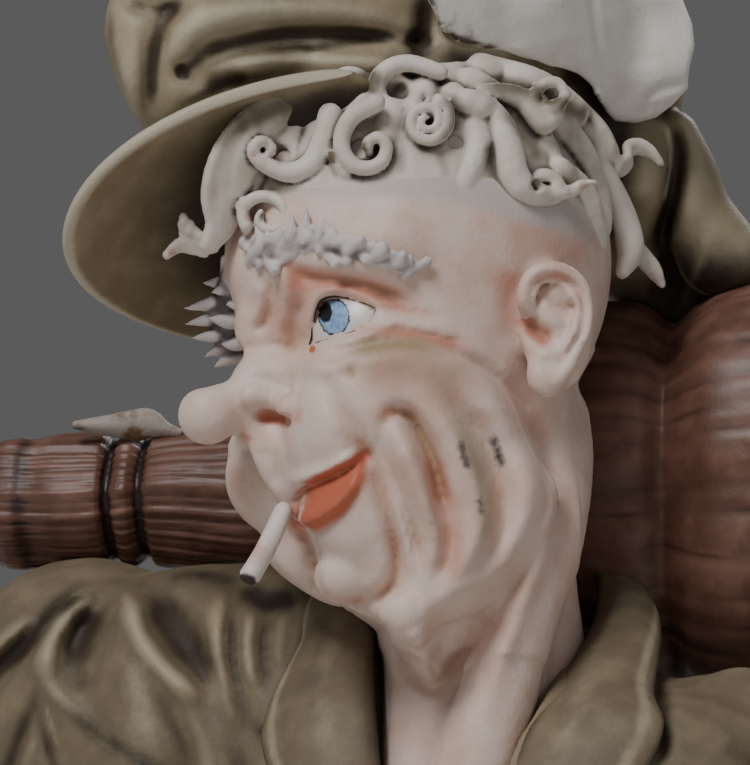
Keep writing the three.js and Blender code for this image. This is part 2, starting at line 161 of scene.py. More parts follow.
class Clay:
    """A block of clay in a frame of its own, as the distance from each grid point to the clay."""

    MARGIN = 3.5  # farther off than this, the distance isn't kept
    DRAWN_DEPTH = 2.6  # how near the surface a drawn line moves it
    unseen = -99.0  # how far right of the middle strokes reach, as the viewer sees no farther

    def __init__(self, frame, low, high, grain):
        self.frame, self.grain, self.low = frame, grain, np.array(low, float)
        counts = np.ceil((np.array(high) - low) / grain).astype(int) + 1
        self.away = np.full(counts, self.MARGIN, np.float32)

    def to_world(self, points):
        """From the block's own frame to the shared frame."""
        return points @ self.frame[:3, :3].T + self.frame[:3, 3]

    def from_world(self, points):
        """From the shared frame to the block's own frame."""
        return (points - self.frame[:3, 3]) @ self.frame[:3, :3]

    def around(self, low, high, margin=None):
        """The part of the block round a box, and the places of its grid points."""
        margin = self.MARGIN if margin is None else margin
        first = np.floor((np.array(low) - margin - self.low) / self.grain).astype(int)
        last = np.ceil((np.array(high) + margin - self.low) / self.grain).astype(int) + 1
        first, last = np.clip(first, 0, self.away.shape), np.clip(last, 0, self.away.shape)
        part = tuple(slice(a, b) for a, b in zip(first, last))
        axes = [self.low[i] + self.grain * np.arange(first[i], last[i]) for i in range(3)]
        return part, np.meshgrid(*[a.astype(np.float32) for a in axes], indexing="ij", sparse=True)

    def press(self, part, reach, soft, cut=False):
        """Joins clay that is reach away to the block, or cuts it out, with a soft edge."""
        here = self.away[part]
        self.away[part] = meet(here, -reach, soft) if cut else -meet(-here, -reach, soft)

    def lump(self, middle, size, soft=3.0, cut=False):
        """An egg-shaped lump, given by its middle and its three radii."""
        middle, size = np.array(middle, float), np.array(size, float)
        part, places = self.around(middle - size, middle + size)
        off = [p - m for p, m in zip(places, middle)]
        near = np.sqrt(sum((o / s) ** 2 for o, s in zip(off, size)))
        steep = np.sqrt(sum((o / s**2) ** 2 for o, s in zip(off, size))) + 1e-6
        self.press(part, near * (near - 1) / steep, soft, cut)

    def roll(self, rows, soft=1.0, cut=False, steps=4, across=None):
        """A roll along rows of x, y, z, radius, or with across, a strip whose width lies that way:
        rows of x, y, z, half width, half thickness."""
        rows = smooth_rows(rows, steps)
        reach_out = rows[:, 3].max() + 0.1
        low, high = rows[:, :3].min(0) - reach_out, rows[:, :3].max(0) + reach_out
        whole, _ = self.around(low, high)
        found = np.full(self.away[whole].shape, self.MARGIN, np.float32)
        for a, b in zip(rows, rows[1:]):
            ends = np.array([a[:3], b[:3]])
            part, places = self.around(ends.min(0) - reach_out, ends.max(0) + reach_out, 2.5)
            inside = tuple(slice(p.start - w.start, p.stop - w.start) for p, w in zip(part, whole))
            along = b[:3] - a[:3]
            square = max(along @ along, 1e-9)
            off = [p - m for p, m in zip(places, a[:3])]
            share = np.clip(sum(o * v for o, v in zip(off, along)) / square, 0, 1)
            off = [o - share * v for o, v in zip(off, along)]
            wide = a[3] + share * (b[3] - a[3])
            if across is None:
                away = np.sqrt(sum(o**2 for o in off)) - wide
            else:
                way = np.array(across, float)
                way -= along * (way @ along) / square
                way /= np.linalg.norm(way)
                sideways = sum(o * w for o, w in zip(off, way))
                thick = a[4] + share * (b[4] - a[4])
                beyond = np.maximum(np.abs(sideways) - (wide - thick), 0)
                square = sum((o - sideways * w) ** 2 for o, w in zip(off, way)) + beyond**2
                away = np.sqrt(square) - thick
            found[inside] = np.minimum(found[inside], away)
        self.press(whole, found, soft, cut)

    def skin(self, depth):
        """The grid points within a depth of the surface, as cells and as places."""
        cells = np.argwhere(np.abs(self.away) < depth)
        return cells, self.low + cells * self.grain

    def relief(self, strokes, mirrored=False):
        """Lines drawn on the clay as it is seen: a line's half width, how deep it goes, or how high
        it stands if that is negative, and x and y of its points on the drawing plane."""
        cells, places = self.skin(self.DRAWN_DEPTH)
        self.away[tuple(cells.T)] += self.stroked(places, self.slopes(cells), strokes, mirrored)

    def beyond(self, places, outline):
        """How far places are seen outside (+) or inside (-) an outline on the drawing plane."""
        x, y = drawn(self.to_world(places))
        outline = np.array(outline, float)
        out = np.full(len(places), 1e9)
        inside = np.zeros(len(places), bool)
        for start, end in zip(outline, np.roll(outline, -1, axis=0)):
            out = np.minimum(out, to_line(x, y, start, end)[1])
            (ax, ay), (bx, by) = start, end
            if ay != by:
                inside ^= ((ay > y) != (by > y)) & (x < (bx - ax) * (y - ay) / (by - ay) + ax)
        return np.where(inside, -out, out)

    def crumpled(self, size, wide, high):
        """Soft folds on the sides that are turned away from the viewer, size deep, wide apart and
        winding over a height of high."""
        cells, places = self.skin(self.DRAWN_DEPTH)
        x, y, z = places.T
        hidden = np.clip(2.5 * self.slopes(cells) @ (look @ self.frame[:3, :3]), 0, 1)
        bent = x / wide + 1.4 * np.sin(z / high + y / 8) + 0.6 * np.sin(y / 5 - z / 7)
        self.away[tuple(cells.T)] += hidden * size * (np.sin(bent) + 0.5 * np.sin(2.3 * bent + z / 6))

    def keep(self, outline, soft=0.6):
        """Cuts away all clay that is seen outside an outline on the drawing plane."""
        near = np.argwhere(self.away < self.MARGIN)
        out = self.beyond(self.low + near * self.grain, outline)
        here = self.away[tuple(near.T)]
        self.away[tuple(near.T)] = np.minimum(meet(here, out, soft), self.MARGIN)

    def bare(self, outline, middle, radius, soft=0.25):
        """Cuts down to a ball all clay that is seen inside an outline, on both sides of the head."""
        cells, places = self.skin(self.MARGIN - 0.1)
        places[:, 1] = np.abs(places[:, 1])
        off = places - middle
        close = (np.linalg.norm(off, axis=1) < radius + 6) & (off @ (look @ self.frame[:3, :3]) < 0)
        cells, places, off = cells[close], places[close], off[close]
        gap = np.minimum(np.linalg.norm(off, axis=1) - radius, -self.beyond(places, outline))
        self.away[tuple(cells.T)] = meet(self.away[tuple(cells.T)], gap, soft)

    def wiped(self):
        """Smooths the clay as with a wet sponge."""
        self.away = blurred(self.away, 1)

    def slopes(self, cells):
        """Which way the clay faces at grid points."""
        slopes, top = [], np.array(self.away.shape) - 1
        for step in np.eye(3, dtype=int):
            ahead = self.away[tuple(np.minimum(cells + step, top).T)]
            behind = self.away[tuple(np.maximum(cells - step, 0).T)]
            slopes.append(ahead - behind)
        slopes = np.array(slopes).T
        return slopes / (np.linalg.norm(slopes, axis=1, keepdims=True) + 1e-6)

    def stroked(self, places, slopes, strokes, mirrored=False):
        """How much of the strokes lies on each place, where the clay there faces the viewer."""
        if mirrored:
            flip = np.where(places[:, 1:2] < 0, (1, -1, 1), (1, 1, 1))
            places, slopes = places * flip, slopes * flip
        facing = np.clip(-3 * slopes @ (look @ self.frame[:3, :3]), 0, 1)
        if not mirrored:
            facing = facing * np.clip((places[:, 1] - self.unseen) / 3, 0, 1)
        x, y = drawn(self.to_world(places))
        pushed = np.zeros(len(places))
        for width, depth, *points in strokes:
            line = smooth_rows(np.reshape(points, (-1, 2)), 5)
            low, high = line.min(0) - 2.5 * width, line.max(0) + 2.5 * width
            spots = np.where((x > low[0]) & (x < high[0]) & (y > low[1]) & (y < high[1]))[0]
            nearest, place = np.full(len(spots), 1e9), np.zeros(len(spots))
            lengths = np.hypot(*np.diff(line, axis=0).T)
            run = np.concatenate([[0], np.cumsum(lengths)])
            for start, end, passed, length in zip(line, line[1:], run, lengths):
                share, off = to_line(x[spots], y[spots], start, end)
                closer = off < nearest
                nearest[closer] = off[closer]
                place[closer] = passed + share[closer] * length
            taper = np.clip(np.minimum(place, run[-1] - place) / (0.25 * run[-1]) + 0.25, 0, 1)
            pushed[spots] += depth * taper * np.exp(-((nearest / width) ** 2))
        return pushed * facing

    def painted(self, strokes, mirrored=False):
        """How much of the strokes lies on each point of the mesh, for a wash of colour."""
        cells = np.rint((self.local - self.low) / self.grain).astype(int)
        cells = np.clip(cells, 0, np.array(self.away.shape) - 1)
        return self.stroked(self.local, self.slopes(cells), strokes, mirrored)

    def sampled(self, field, points):
        """A field's values between the grid points, at points of the clay's own frame."""
        place = np.clip((points - self.low) / self.grain, 0, np.array(field.shape) - 1.001)
        base = place.astype(int)
        part = place - base
        value = 0
        for corner in np.ndindex(2, 2, 2):
            weight = np.prod(np.where(corner, part, 1 - part), axis=-1)
            value = value + weight * field[tuple((base + corner).T)]
        return value

    def touch(self, points, sink=0.0):
        """The places on the clay that are seen at points of the drawing plane, sunk in by sink."""
        found, reach = [], 90.0
        for x, y in np.atleast_2d(np.array(points, float)):
            ray = look * VIEW_DISTANCE + right * x + up * y
            ray /= np.linalg.norm(ray)
            steps = VIEW_DISTANCE - reach + np.arange(0, 2 * reach, self.grain * 0.5)
            path = self.from_world(eye + ray * steps[:, None])
            depth = self.sampled(self.away, path)
            hit = int(np.argmax(depth < 0)) if (depth < 0).any() else int(np.argmin(depth))
            found.append(path[hit] + sink * (ray @ self.frame[:3, :3]))
        return np.array(found)

    def fired(self, name):
        """The clay's surface as a mesh object."""
        grid = openvdb.FloatGrid(self.MARGIN)
        grid.copyFromArray(np.ascontiguousarray(self.away, np.float32))
        points, triangles, quads = grid.convertToPolygons(0.0)
        self.local = points * self.grain + self.low
        faces = [tuple(f[::-1]) for f in triangles.tolist() + quads.tolist()]
        return modelled(name, self.to_world(self.local), faces)

    def hollows(self, reach):
        """How hollow (positive) or proud (negative) the clay is at each point of its mesh."""
        cells = max(1, round(reach / self.grain))
        smooth = blurred(np.clip(self.away, -reach, reach), cells)
        return -(self.sampled(smooth, self.local) - self.sampled(self.away, self.local)) / reach


def note(piece, name, values):
    """Stores a number for each point of a mesh, for its material to read."""
    layer = piece.data.attributes.new(name, "FLOAT", "POINT")
    layer.data.foreach_set("value", np.ascontiguousarray(values, np.float32))


HEAD_BLOCK = (-36, -25, -86), (36, 25, 34)
head = Clay(head_frame, *HEAD_BLOCK, 0.48)
head.unseen = -13
for middle, size, soft in (
    ((0, 0, 4), (24.5, 20.5, 26), 3),  # skull
    ((2, 0, -16), (17, 16.5, 21), 5),  # lower face
    ((1, 1, -30.5), (12, 11.5, 10), 5),  # jaw
    ((12, 1, -24), (8.5, 9, 8), 4),  # lips
    ((9, 1.5, -34.5), (7, 7.2, 5.5), 3),  # chin
):
    head.lump(middle, size, soft)
for side in (1, -1):
    for middle, size, soft in (
        ((14, 9.5, -21.5), (8, 7.5, 8), 4),  # flank of the grin
        ((11, 8, -31.5), (8.5, 7, 7.5), 4),  # jowl
        ((8, 11, -17), (11, 8.5, 10), 4),  # cheek
        ((4, 12, -26), (10, 7, 12), 4),  # hanging cheek
    ):
        head.lump((middle[0], side * middle[1], middle[2]), size, soft)
    jowl = np.array([
        (13.3, 3, -38.3, 3.0), (10, 6, -39.7, 4.5), (6.6, 9, -39.4, 5.5), (2.7, 11, -38.3, 6),
        (-1.2, 12, -36, 5.5), (-4.3, 13, -30.6, 5),
    ])
    if side < 0:
        jowl = jowl * (1, -1, 1, 0.7) + (0, 0, 2.5, 0)
    head.roll(jowl, 4)
    head.roll(((20, 0, 1.5, 4), (17.5, side * 8, 1.5, 4), (10, side * 15.5, 0, 4)), 3)  # brow
# nose, with the ball on its end
head.roll(((16.6, 0, -8.7, 5.5), (21.6, 0, -13.1, 5.0), (24.8, 0, -15, 4.1), (27.2, 0, -16.3, 3.1)), 2.5)
head.lump((29.1, 0, -17.2), (3.6, 3.6, 3.6), 1.0)
head.roll(((21.6, 0.5, -18.4, 3.0), (20.9, 1.5, -22.5, 3.0), (19.5, 2, -25.7, 2.6)), 2.5)  # upper lip
head.lump((18.6, -11, -22.5), (4.6, 4.6, 5.5), 2.5)  # far cheek
head.lump((21.3, 0, -5.9), (3, 3, 3), 2.5)  # bridge of the nose
NECK = np.array([
    (1.8, -5.4, 70, 12.5), (1, -3.2, 52, 12.3), (1.5, -1.7, 38, 13), (4, -5, 20, 14.5), (5, -7, 4, 15)
])
head.roll(np.column_stack([head.from_world(NECK[:, :3]), NECK[:, 3]]), 2.5)
NECK_CORD = np.array([
    (-17.5, 3, -17.8, 1.5), (-14.9, 5.5, -24.6, 3.0), (-12.2, 7.3, -31, 3.9), (-9.8, 7.8, -36.3, 4.4),
    (-6.2, 8, -43.1, 4.5), (-4, 7, -50.3, 4.5), (-1.9, 6, -57.5, 4.5), (-0.4, 4, -64.4, 5),
])
for side in (1, -1):
    head.roll(NECK_CORD * (1, side, 1, 1), 5)
# wattle under the chin
WATTLE = (((3.6, -28.7), 3.2), ((5.1, -31.2), 3.1), ((6.4, -33.7), 2.5), ((7.1, -35.8), 1.4))
hung = head.touch([place for place, _ in WATTLE], -0.6)
head.roll([(*spot, radius) for spot, (_, radius) in zip(hung, WATTLE)], 1.6)
head.lump((-0.4, 4, -43.2), (4.5, 3.5, 3.5), 3)  # throat
for side in (1, -1):
    head.lump((11, side * 7.5, -7), (7, 7, 7), 1.0)  # eyeball
HEAD_OUTLINE = (  # as it is seen, with the notch between nose and brow
    (-58.1, 75.3), (65.6, 75.3), (65.6, -89.7), (-1.6, -89.7), (0.2, -52.2), (1, -32.2), (1.2, -30.9),
    (-2.9, -28.9), (-7.1, -27.4), (-12.5, -23.9), (-20, -22.2), (-58.1, -22.2), (-58.1, -0.1), (-21.2, -0.1),
    (-19.1, -0.1), (-18.1, 0.4), (-17.4, 1.9), (-16.5, 3.2), (-17.4, 4.1), (-18.8, 4.6), (-58.1, 4.6),
)
head.keep(HEAD_OUTLINE, 1.6)
FACE_FOLDS = (  # each line's half width, depth, and x and y of its points on the drawing plane
    (1.1, 1.5, -5.9, -0.2, -3.9, -3.7, -1.9, -7.2, -0.6, -9.9, 0.9, -13.9, 2.2, -18.4, 2.9, -22.2, 2.1, -25.3,
     -0.6, -27.3, -3.1, -27.9),
    (0.8, -0.6, 0.1, -7.2, 1.2, -11.2, 2.9, -15.9, 4, -20.3, 4.2, -24.1),
    (0.9, 1.0, 1, -5.2, 0.8, -7.9, 1.9, -11.9, 3.8, -16.2, 5.2, -20.3, 5.6, -23.7),
    (1.5, -1.2, 2.2, -5.4, 4, -9.1, 5.9, -13.4, 7.2, -17.4, 7.8, -21.2, 6.6, -24.9),
    (1.05, 2.0, 1.4, -4.7, 2.6, -3.6, 4.4, -4.4, 6.1, -7.2, 7.4, -10.4, 8.1, -13.7, 8.4, -15.7),
    (1.2, 1.1, 7.6, -12.2, 8.9, -16.6, 9.1, -20.3, 7.6, -24.9),
    (2.1, -1.2, 5.4, 0.3, 8.6, -4.1, 11, -8.4, 12.6, -13.2, 13.1, -17.4, 12.4, -21.7, 9.4, -26.2, 4.6, -29.2),
    (1.4, 1.4, 8.1, -1.3, 11.9, -5.3, 14.4, -10.1, 15.8, -14.1, 15.8, -18.1, 13.9, -21.9, 10.6, -25.6),
    (2.3, -1.0, 10.9, 1.3, 15.6, -3.7, 18.6, -8.7, 19.9, -13.2, 19.4, -17.4, 16.9, -22.2),
    (1.8, 1.0, 17.1, -1.6, 20.1, -5.7, 21.5, -10.3, 21.6, -14.1, 20.6, -18.4, 18.1, -23.4, 13.1, -28.7),
    (0.9, 1.0, -6, 2.8, -4, 3.9, -0.6, 4.7, 3.5, 5.1, 7.8, 4.4, 11.9, 2.8, 15.2, 0.6, 18.8, -2.6),
    (2.4, -0.8, -4.4, 1.8, -0.6, 3.1, 3.8, 3.6, 8.1, 2.6, 11.9, 0.3),
    (0.9, 0.8, -4, 0.8, -3.1, 1.4, -2.4, 1.2),
    (1.5, -0.8, -15.4, 1.3, -11.2, 1.9, -7.5, 2.2, -4.1, 2.1),
    (2.0, -0.7, -13.1, -0.2, -11.4, -0.6, -9.6, -1.2),
    (1.0, 1.4, -10.4, 14.1, -8, 13.2, -4.5, 12.8, -1.9, 12.3, 0.8, 11.4, 4.8, 9.7),
    (1.5, 1.3, -9.4, 10.8, -10.2, 7.8, -10.1, 5.6, -9.1, 4.1),
    (1.3, -0.8, -12.1, 15.1, -11.2, 12.2, -11, 9.1, -11.4, 6.1),
    (0.8, 0.8, -13.4, 13.3, -12.9, 10.9, -13.4, 8.1, -14.9, 6.1),
    (1.1, -0.5, -14.6, 12.8, -14.6, 9.7, -15.9, 7.2),
    (0.8, 0.7, -16.6, 3.8, -14.1, 4.6, -11.1, 4.3, -8.9, 3.7),
    (0.6, -0.45, -7.9, 4.7, -8.1, 7.2, -7.9, 9.7, -6.6, 11.3, -4.6, 11.9, -2.4, 11.4, 0.4, 10.1, 3.8, 8.8),
    (0.35, 0.5, -7.4, 4.9, -7.2, 7.2, -7, 9.2, -6.1, 10.4, -4.6, 10.8, -2.8, 10.3, 0, 9.2),
    (0.4, 0.4, -6.1, 5.2, -4.5, 5.6, -2.8, 6.1, -1, 6.8, 0.2, 8.1),
    (0.6, -0.35, -6.6, 4.4, -4.4, 4.9, -1.9, 5.6, 0.6, 6.8, 3.1, 7.6),
    (0.5, 0.6, 0.2, 6.9, 2.8, 6.6, 8.1, 5.7, 11.9, 4.7),
    (0.6, 0.4, 0.6, 9.3, 4.4, 8.8, 8.1, 8.1),
)
head.relief(FACE_FOLDS, mirrored=True)
# wing of the nose and the hole under it
for sink, width, cut, sides, points in (
    (-0.2, 1.5, False, (1, -1), ((-15.4, -1.7), (-13.5, -1.7), (-11.8, -2.3), (-10.6, -3.3))),
    (-0.1, 0.75, True, (1,), ((-14.1, -4.2), (-12.5, -4.3), (-11.1, -4.8))),
):
    laid = head.touch(points, sink)
    for side in sides:
        head.roll([(f, side * l, u, width) for f, l, u in laid], 0.6, cut)
MOUTH_LINES = (
    (0.45, 0.75, -0.9, -8.8, -3.1, -10.6, -5.6, -11.9, -8.6, -13.2, -9.9, -14.4, -11.4, -14.4),
    (0.7, 0.35, -0.4, -8.1, -1, -8.9, -1.9, -10.1),
    (1.35, -1.0, -1.4, -11.2, -3.1, -13.7, -5.8, -15.9, -8.6, -17.2, -11.1, -16.8),
    (0.9, -0.6, -2.5, -9.1, -4.6, -10.4, -7.1, -11.4, -9.4, -12.2, -10.9, -12.9),
    (1.1, 0.55, -13.6, -7.9, -13, -10.7, -12, -12.9),
    (0.7, 0.35, -4.9, -6.7, -3.1, -7.2, -1.1, -8.2),
    (0.5, 0.3, -4.6, -8.2, -2.9, -8.4, -1.4, -8.9),
    (0.8, -0.4, -12.5, -7.2, -11.5, -10.3, -10.6, -12.8),
    (0.9, 0.9, -9.9, -18.2, -7.8, -21.2, -7.1, -24.1),
    (0.7, 0.5, -9, -18.7, -6.9, -18.4, -3.8, -15.9, -1.2, -12.2),
)
head.relief(MOUTH_LINES)
head.lump((15.3, 6, -38.6), (3.5, 3.5, 3.3), 0.9)  # knob of the chin
CHIN_AND_NECK_FOLDS = (
    (0.7, 0.8, -7.6, -22.9, -7.1, -25.9, -5.4, -27.7, -2.9, -27.7, -0.6, -26.4),
    (0.9, 0.7, 1.1, -31.2, 2.4, -33.2, 3.9, -35.7, 5.6, -37.7, 7.6, -38.4, 9.4, -36.4, 10.9, -33.9, 12.6,
     -32.2),
    (1.7, -1.0, 4.4, -30.7, 5.9, -33.4, 7, -36.2),
    (0.35, 0.6, 6.9, -35.2, 7.8, -36.7),
    (1.8, 0.9, 15.6, -27.2, 13.6, -30.9, 11.9, -35.7, 10.6, -40.9),
    (1.6, -0.9, 22.6, -10.9, 21.6, -18.4, 19.1, -25.9, 16.1, -33.4, 14.1, -39.7),
)
head.relief(CHIN_AND_NECK_FOLDS)
EAR_RIM = np.array([
    (-6.1, 19.4, -10, 0.9), (-5.3, 20.6, -7.6, 1.2), (-6, 21.2, -5.4, 1.3), (-7.4, 21.6, -4.4, 1.3),
    (-9.5, 22, -4.5, 1.3), (-11.2, 22, -5.6, 1.3), (-12.1, 22, -7.3, 1.25), (-12.2, 22, -9.4, 1.15),
    (-11.7, 22, -11.8, 1.1), (-10.8, 21.5, -13.7, 1.0), (-10, 21, -15.6, 1.0), (-8.7, 20.5, -17.5, 0.9),
])
for side in (1, -1):
    head.lump((-9.7, side * 18.5, -10.2), (4.6, 2.5, 8.0), 1.5)
    head.lump((-7.8, side * 19, -16.7), (2.4, 2.0, 2.6), 1.0)  # earlobe
    head.roll(EAR_RIM * (1, side, 1, 1), 0.5)
EAR_LINES = (
    (0.5, 0.9, 19.4, 9.6, 19.6, 11.9, 21, 13.1, 23.2, 13.1, 25, 12.1, 26, 10.6, 26.2, 8.8, 25.9, 6.6, 24.9,
     4.8, 24, 3.2, 23.2, 1.8),
    (0.95, 2.2, 18.9, 8.3, 19.6, 7.1, 20.9, 6.1, 22.1, 5.1),
    (0.4, 0.5, 21, 11.4, 22, 10.1, 23.2, 9.3, 25, 9.4),
    (0.8, -0.5, 21.8, 11.8, 23.2, 11.2, 25, 10.3),
    (0.8, -0.5, 20.9, 10.8, 22.4, 8.1, 23.9, 7.6),
    (0.7, -0.5, 24.6, 8.8, 24.8, 6.6, 23.8, 4.6, 22, 3.8, 20.4, 3.8),
    (0.5, 0.4, 20.6, 2.6, 22, 1.9),
)
head.relief(EAR_LINES, mirrored=True)
FLAT_TOP, NECK_CUT = 18, 0.3  # the head is flat under the cap, and the neck ends above the seat
whole, (_, aside, rise) = head.around(*HEAD_BLOCK)
height = head_frame[2, 3] + head_frame[2, 1] * aside + head_frame[2, 2] * rise
head.away[whole] = np.maximum(np.maximum(head.away[whole], rise - FLAT_TOP), NECK_CUT - height)
EYE_MIDDLE, EYE_RADIUS = np.array([10.46, 8.07, -9.1]), 7.5
UPPER_LID = (
    (-8.2, 4.7), (-7.9, 5.8), (-7.8, 7.4), (-7.4, 9.2), (-6.8, 10.3), (-5.8, 10.8), (-4.4, 10.8),
    (-2.8, 10.4), (-1, 9.8), (0.1, 9.2),
)
LOWER_LID = (
    (-8.2, 4.7), (-7.4, 4.9), (-6.1, 5.3), (-4.5, 5.8), (-2.8, 6.3), (-1.4, 7.1), (-0.5, 7.8), (0.1, 9.2),
)
head.bare(np.vstack([smooth_rows(UPPER_LID, 4), smooth_rows(LOWER_LID, 4)[-2:0:-1]]), EYE_MIDDLE, EYE_RADIUS)
piece = head.fired("head")


def group(name, takes, gives):
    """A node group for one painter's effect, with its named inputs and outputs."""
    tree = bpy.data.node_groups.new(name, "ShaderNodeTree")
    for label, kind, value in takes:
        socket = tree.interface.new_socket(label, in_out="INPUT", socket_type="NodeSocket" + kind)
        socket.default_value = value
    for label, kind in gives:
        tree.interface.new_socket(label, in_out="OUTPUT", socket_type="NodeSocket" + kind)
    return tree, tree.nodes.new("NodeGroupInput").outputs, tree.nodes.new("NodeGroupOutput").inputs


def plug(tree, socket, value):
    """Fills a socket with a value or with another node's output."""
    if isinstance(value, bpy.types.NodeSocket):
        tree.links.new(value, socket)
    else:
        socket.default_value = value


def add(tree, kind, inputs, **settings):
    """Adds a node with its settings, and fills its inputs."""
    made = tree.nodes.new("ShaderNode" + kind)
    for name, value in settings.items():
        setattr(made, name, value)
    for name, value in inputs.items():
        plug(tree, made.inputs[name], value)
    return made


def mixed(tree, share, under, over):
    """One colour over another, by a share from 0 to 1."""
    mix = add(tree, "Mix", {"Factor": share}, data_type="RGBA")
    for socket, value in zip([s for s in mix.inputs if s.type == "RGBA"], (under, over)):
        plug(tree, socket, value)
    return next(s for s in mix.outputs if s.type == "RGBA")


def shade_of(text):
    """A colour as a painter's chart gives it, in the linear values that a shader takes."""
    parts = [int(text[i:i + 2], 16) / 255 for i in (1, 3, 5)]
    return tuple(p / 12.92 if p <= 0.04045 else ((p + 0.055) / 1.055) ** 2.4 for p in parts) + (1.0,)


# one brushed colour over another, thick where the mask is, with the brush's own streaks
brushed, ins, outs = group(
    "brushed_colour",
    (("Under", "Color", (1, 1, 1, 1)), ("Over", "Color", (1, 1, 1, 1)), ("Mask", "Float", 0.0),
     ("From", "Float", 0.0), ("To", "Float", 1.0), ("Streaks", "Float", 0.4), ("Scale", "Float", 400.0)),
    (("Color", "Color"),),
)
place = add(brushed, "TexCoord", {}).outputs["Object"]
streak = add(brushed, "TexNoise", {"Vector": place, "Scale": ins["Scale"], "Detail": 4.0, "Roughness": 0.6})
centred = add(brushed, "Math", {0: streak.outputs["Fac"], 1: 0.5}, operation="SUBTRACT")
moved = add(brushed, "Math", {0: centred.outputs[0], 1: ins["Streaks"], 2: ins["Mask"]},
            operation="MULTIPLY_ADD")
worked = add(brushed, "MapRange", {"Value": moved.outputs[0], "From Min": ins["From"], "From Max": ins["To"]},
             interpolation_type="SMOOTHSTEP")
brushed.links.new(mixed(brushed, worked.outputs[0], ins["Under"], ins["Over"]), outs["Color"])

# the fine tooth of unglazed porcelain
tooth, ins, outs = group(
    "bisque_tooth", (("Depth", "Float", 0.02),), (("Normal", "Vector"), ("Mottle", "Float"))
)
place = add(tooth, "TexCoord", {}).outputs["Object"]
fine = add(tooth, "TexNoise", {"Vector": place, "Scale": 1800.0, "Detail": 3.0})
broad = add(tooth, "TexNoise", {"Vector": place, "Scale": 260.0, "Detail": 3.0})
height = add(tooth, "Math", {0: broad.outputs["Fac"], 1: 1.2, 2: fine.outputs["Fac"]},
             operation="MULTIPLY_ADD")
bump = add(tooth, "Bump", {"Height": height.outputs[0], "Strength": ins["Depth"], "Distance": 0.0003})
tooth.links.new(bump.outputs[0], outs["Normal"])
tooth.links.new(broad.outputs["Fac"], outs["Mottle"])


def new_paint(name, values):
    """A new material with values for its shader, and its node tree."""
    material = bpy.data.materials.new(name)
    material.use_nodes = True
    for label, value in values.items():
        material.node_tree.nodes["Principled BSDF"].inputs[label].default_value = value
    return material, material.node_tree


def bisque(name, ground, coats, rough=0.55, depth=0.25, glaze=(0.0, 0.03)):
    """Painted bisque: a ground colour and coats over it, each (colour, attribute, from, to,
    streaks, scale), from the first laid to the last. A glaze is (weight, roughness)."""
    material, tree = new_paint(name, {
        "Roughness": rough, "Specular IOR Level": 0.35, "Coat Weight": glaze[0], "Coat Roughness": glaze[1],
    })
    grain = add(tree, "Group", {"Depth": depth}, node_tree=tooth)
    colour = shade_of(ground)
    for over, source, low, high, streaks, scale in coats:
        if source == "mottle":
            mask = grain.outputs["Mottle"]
        else:
            mask = add(tree, "Attribute", {}, attribute_name=source).outputs["Fac"]
        colour = add(tree, "Group", {
            "Under": colour, "Over": shade_of(over), "Mask": mask,
            "From": low, "To": high, "Streaks": streaks, "Scale": scale,
        }, node_tree=brushed).outputs["Color"]
    shader = tree.nodes["Principled BSDF"]
    tree.links.new(grain.outputs["Normal"], shader.inputs["Normal"])
    tree.links.new(colour, shader.inputs["Base Color"])
    return material


def fit(piece, material, *nodes, holder="bisque"):
    """Gives a piece its finish, and puts it on the frame in place of the plain parts."""
    piece.data.materials.append(material)
    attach(piece, "root")
    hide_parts(*nodes)


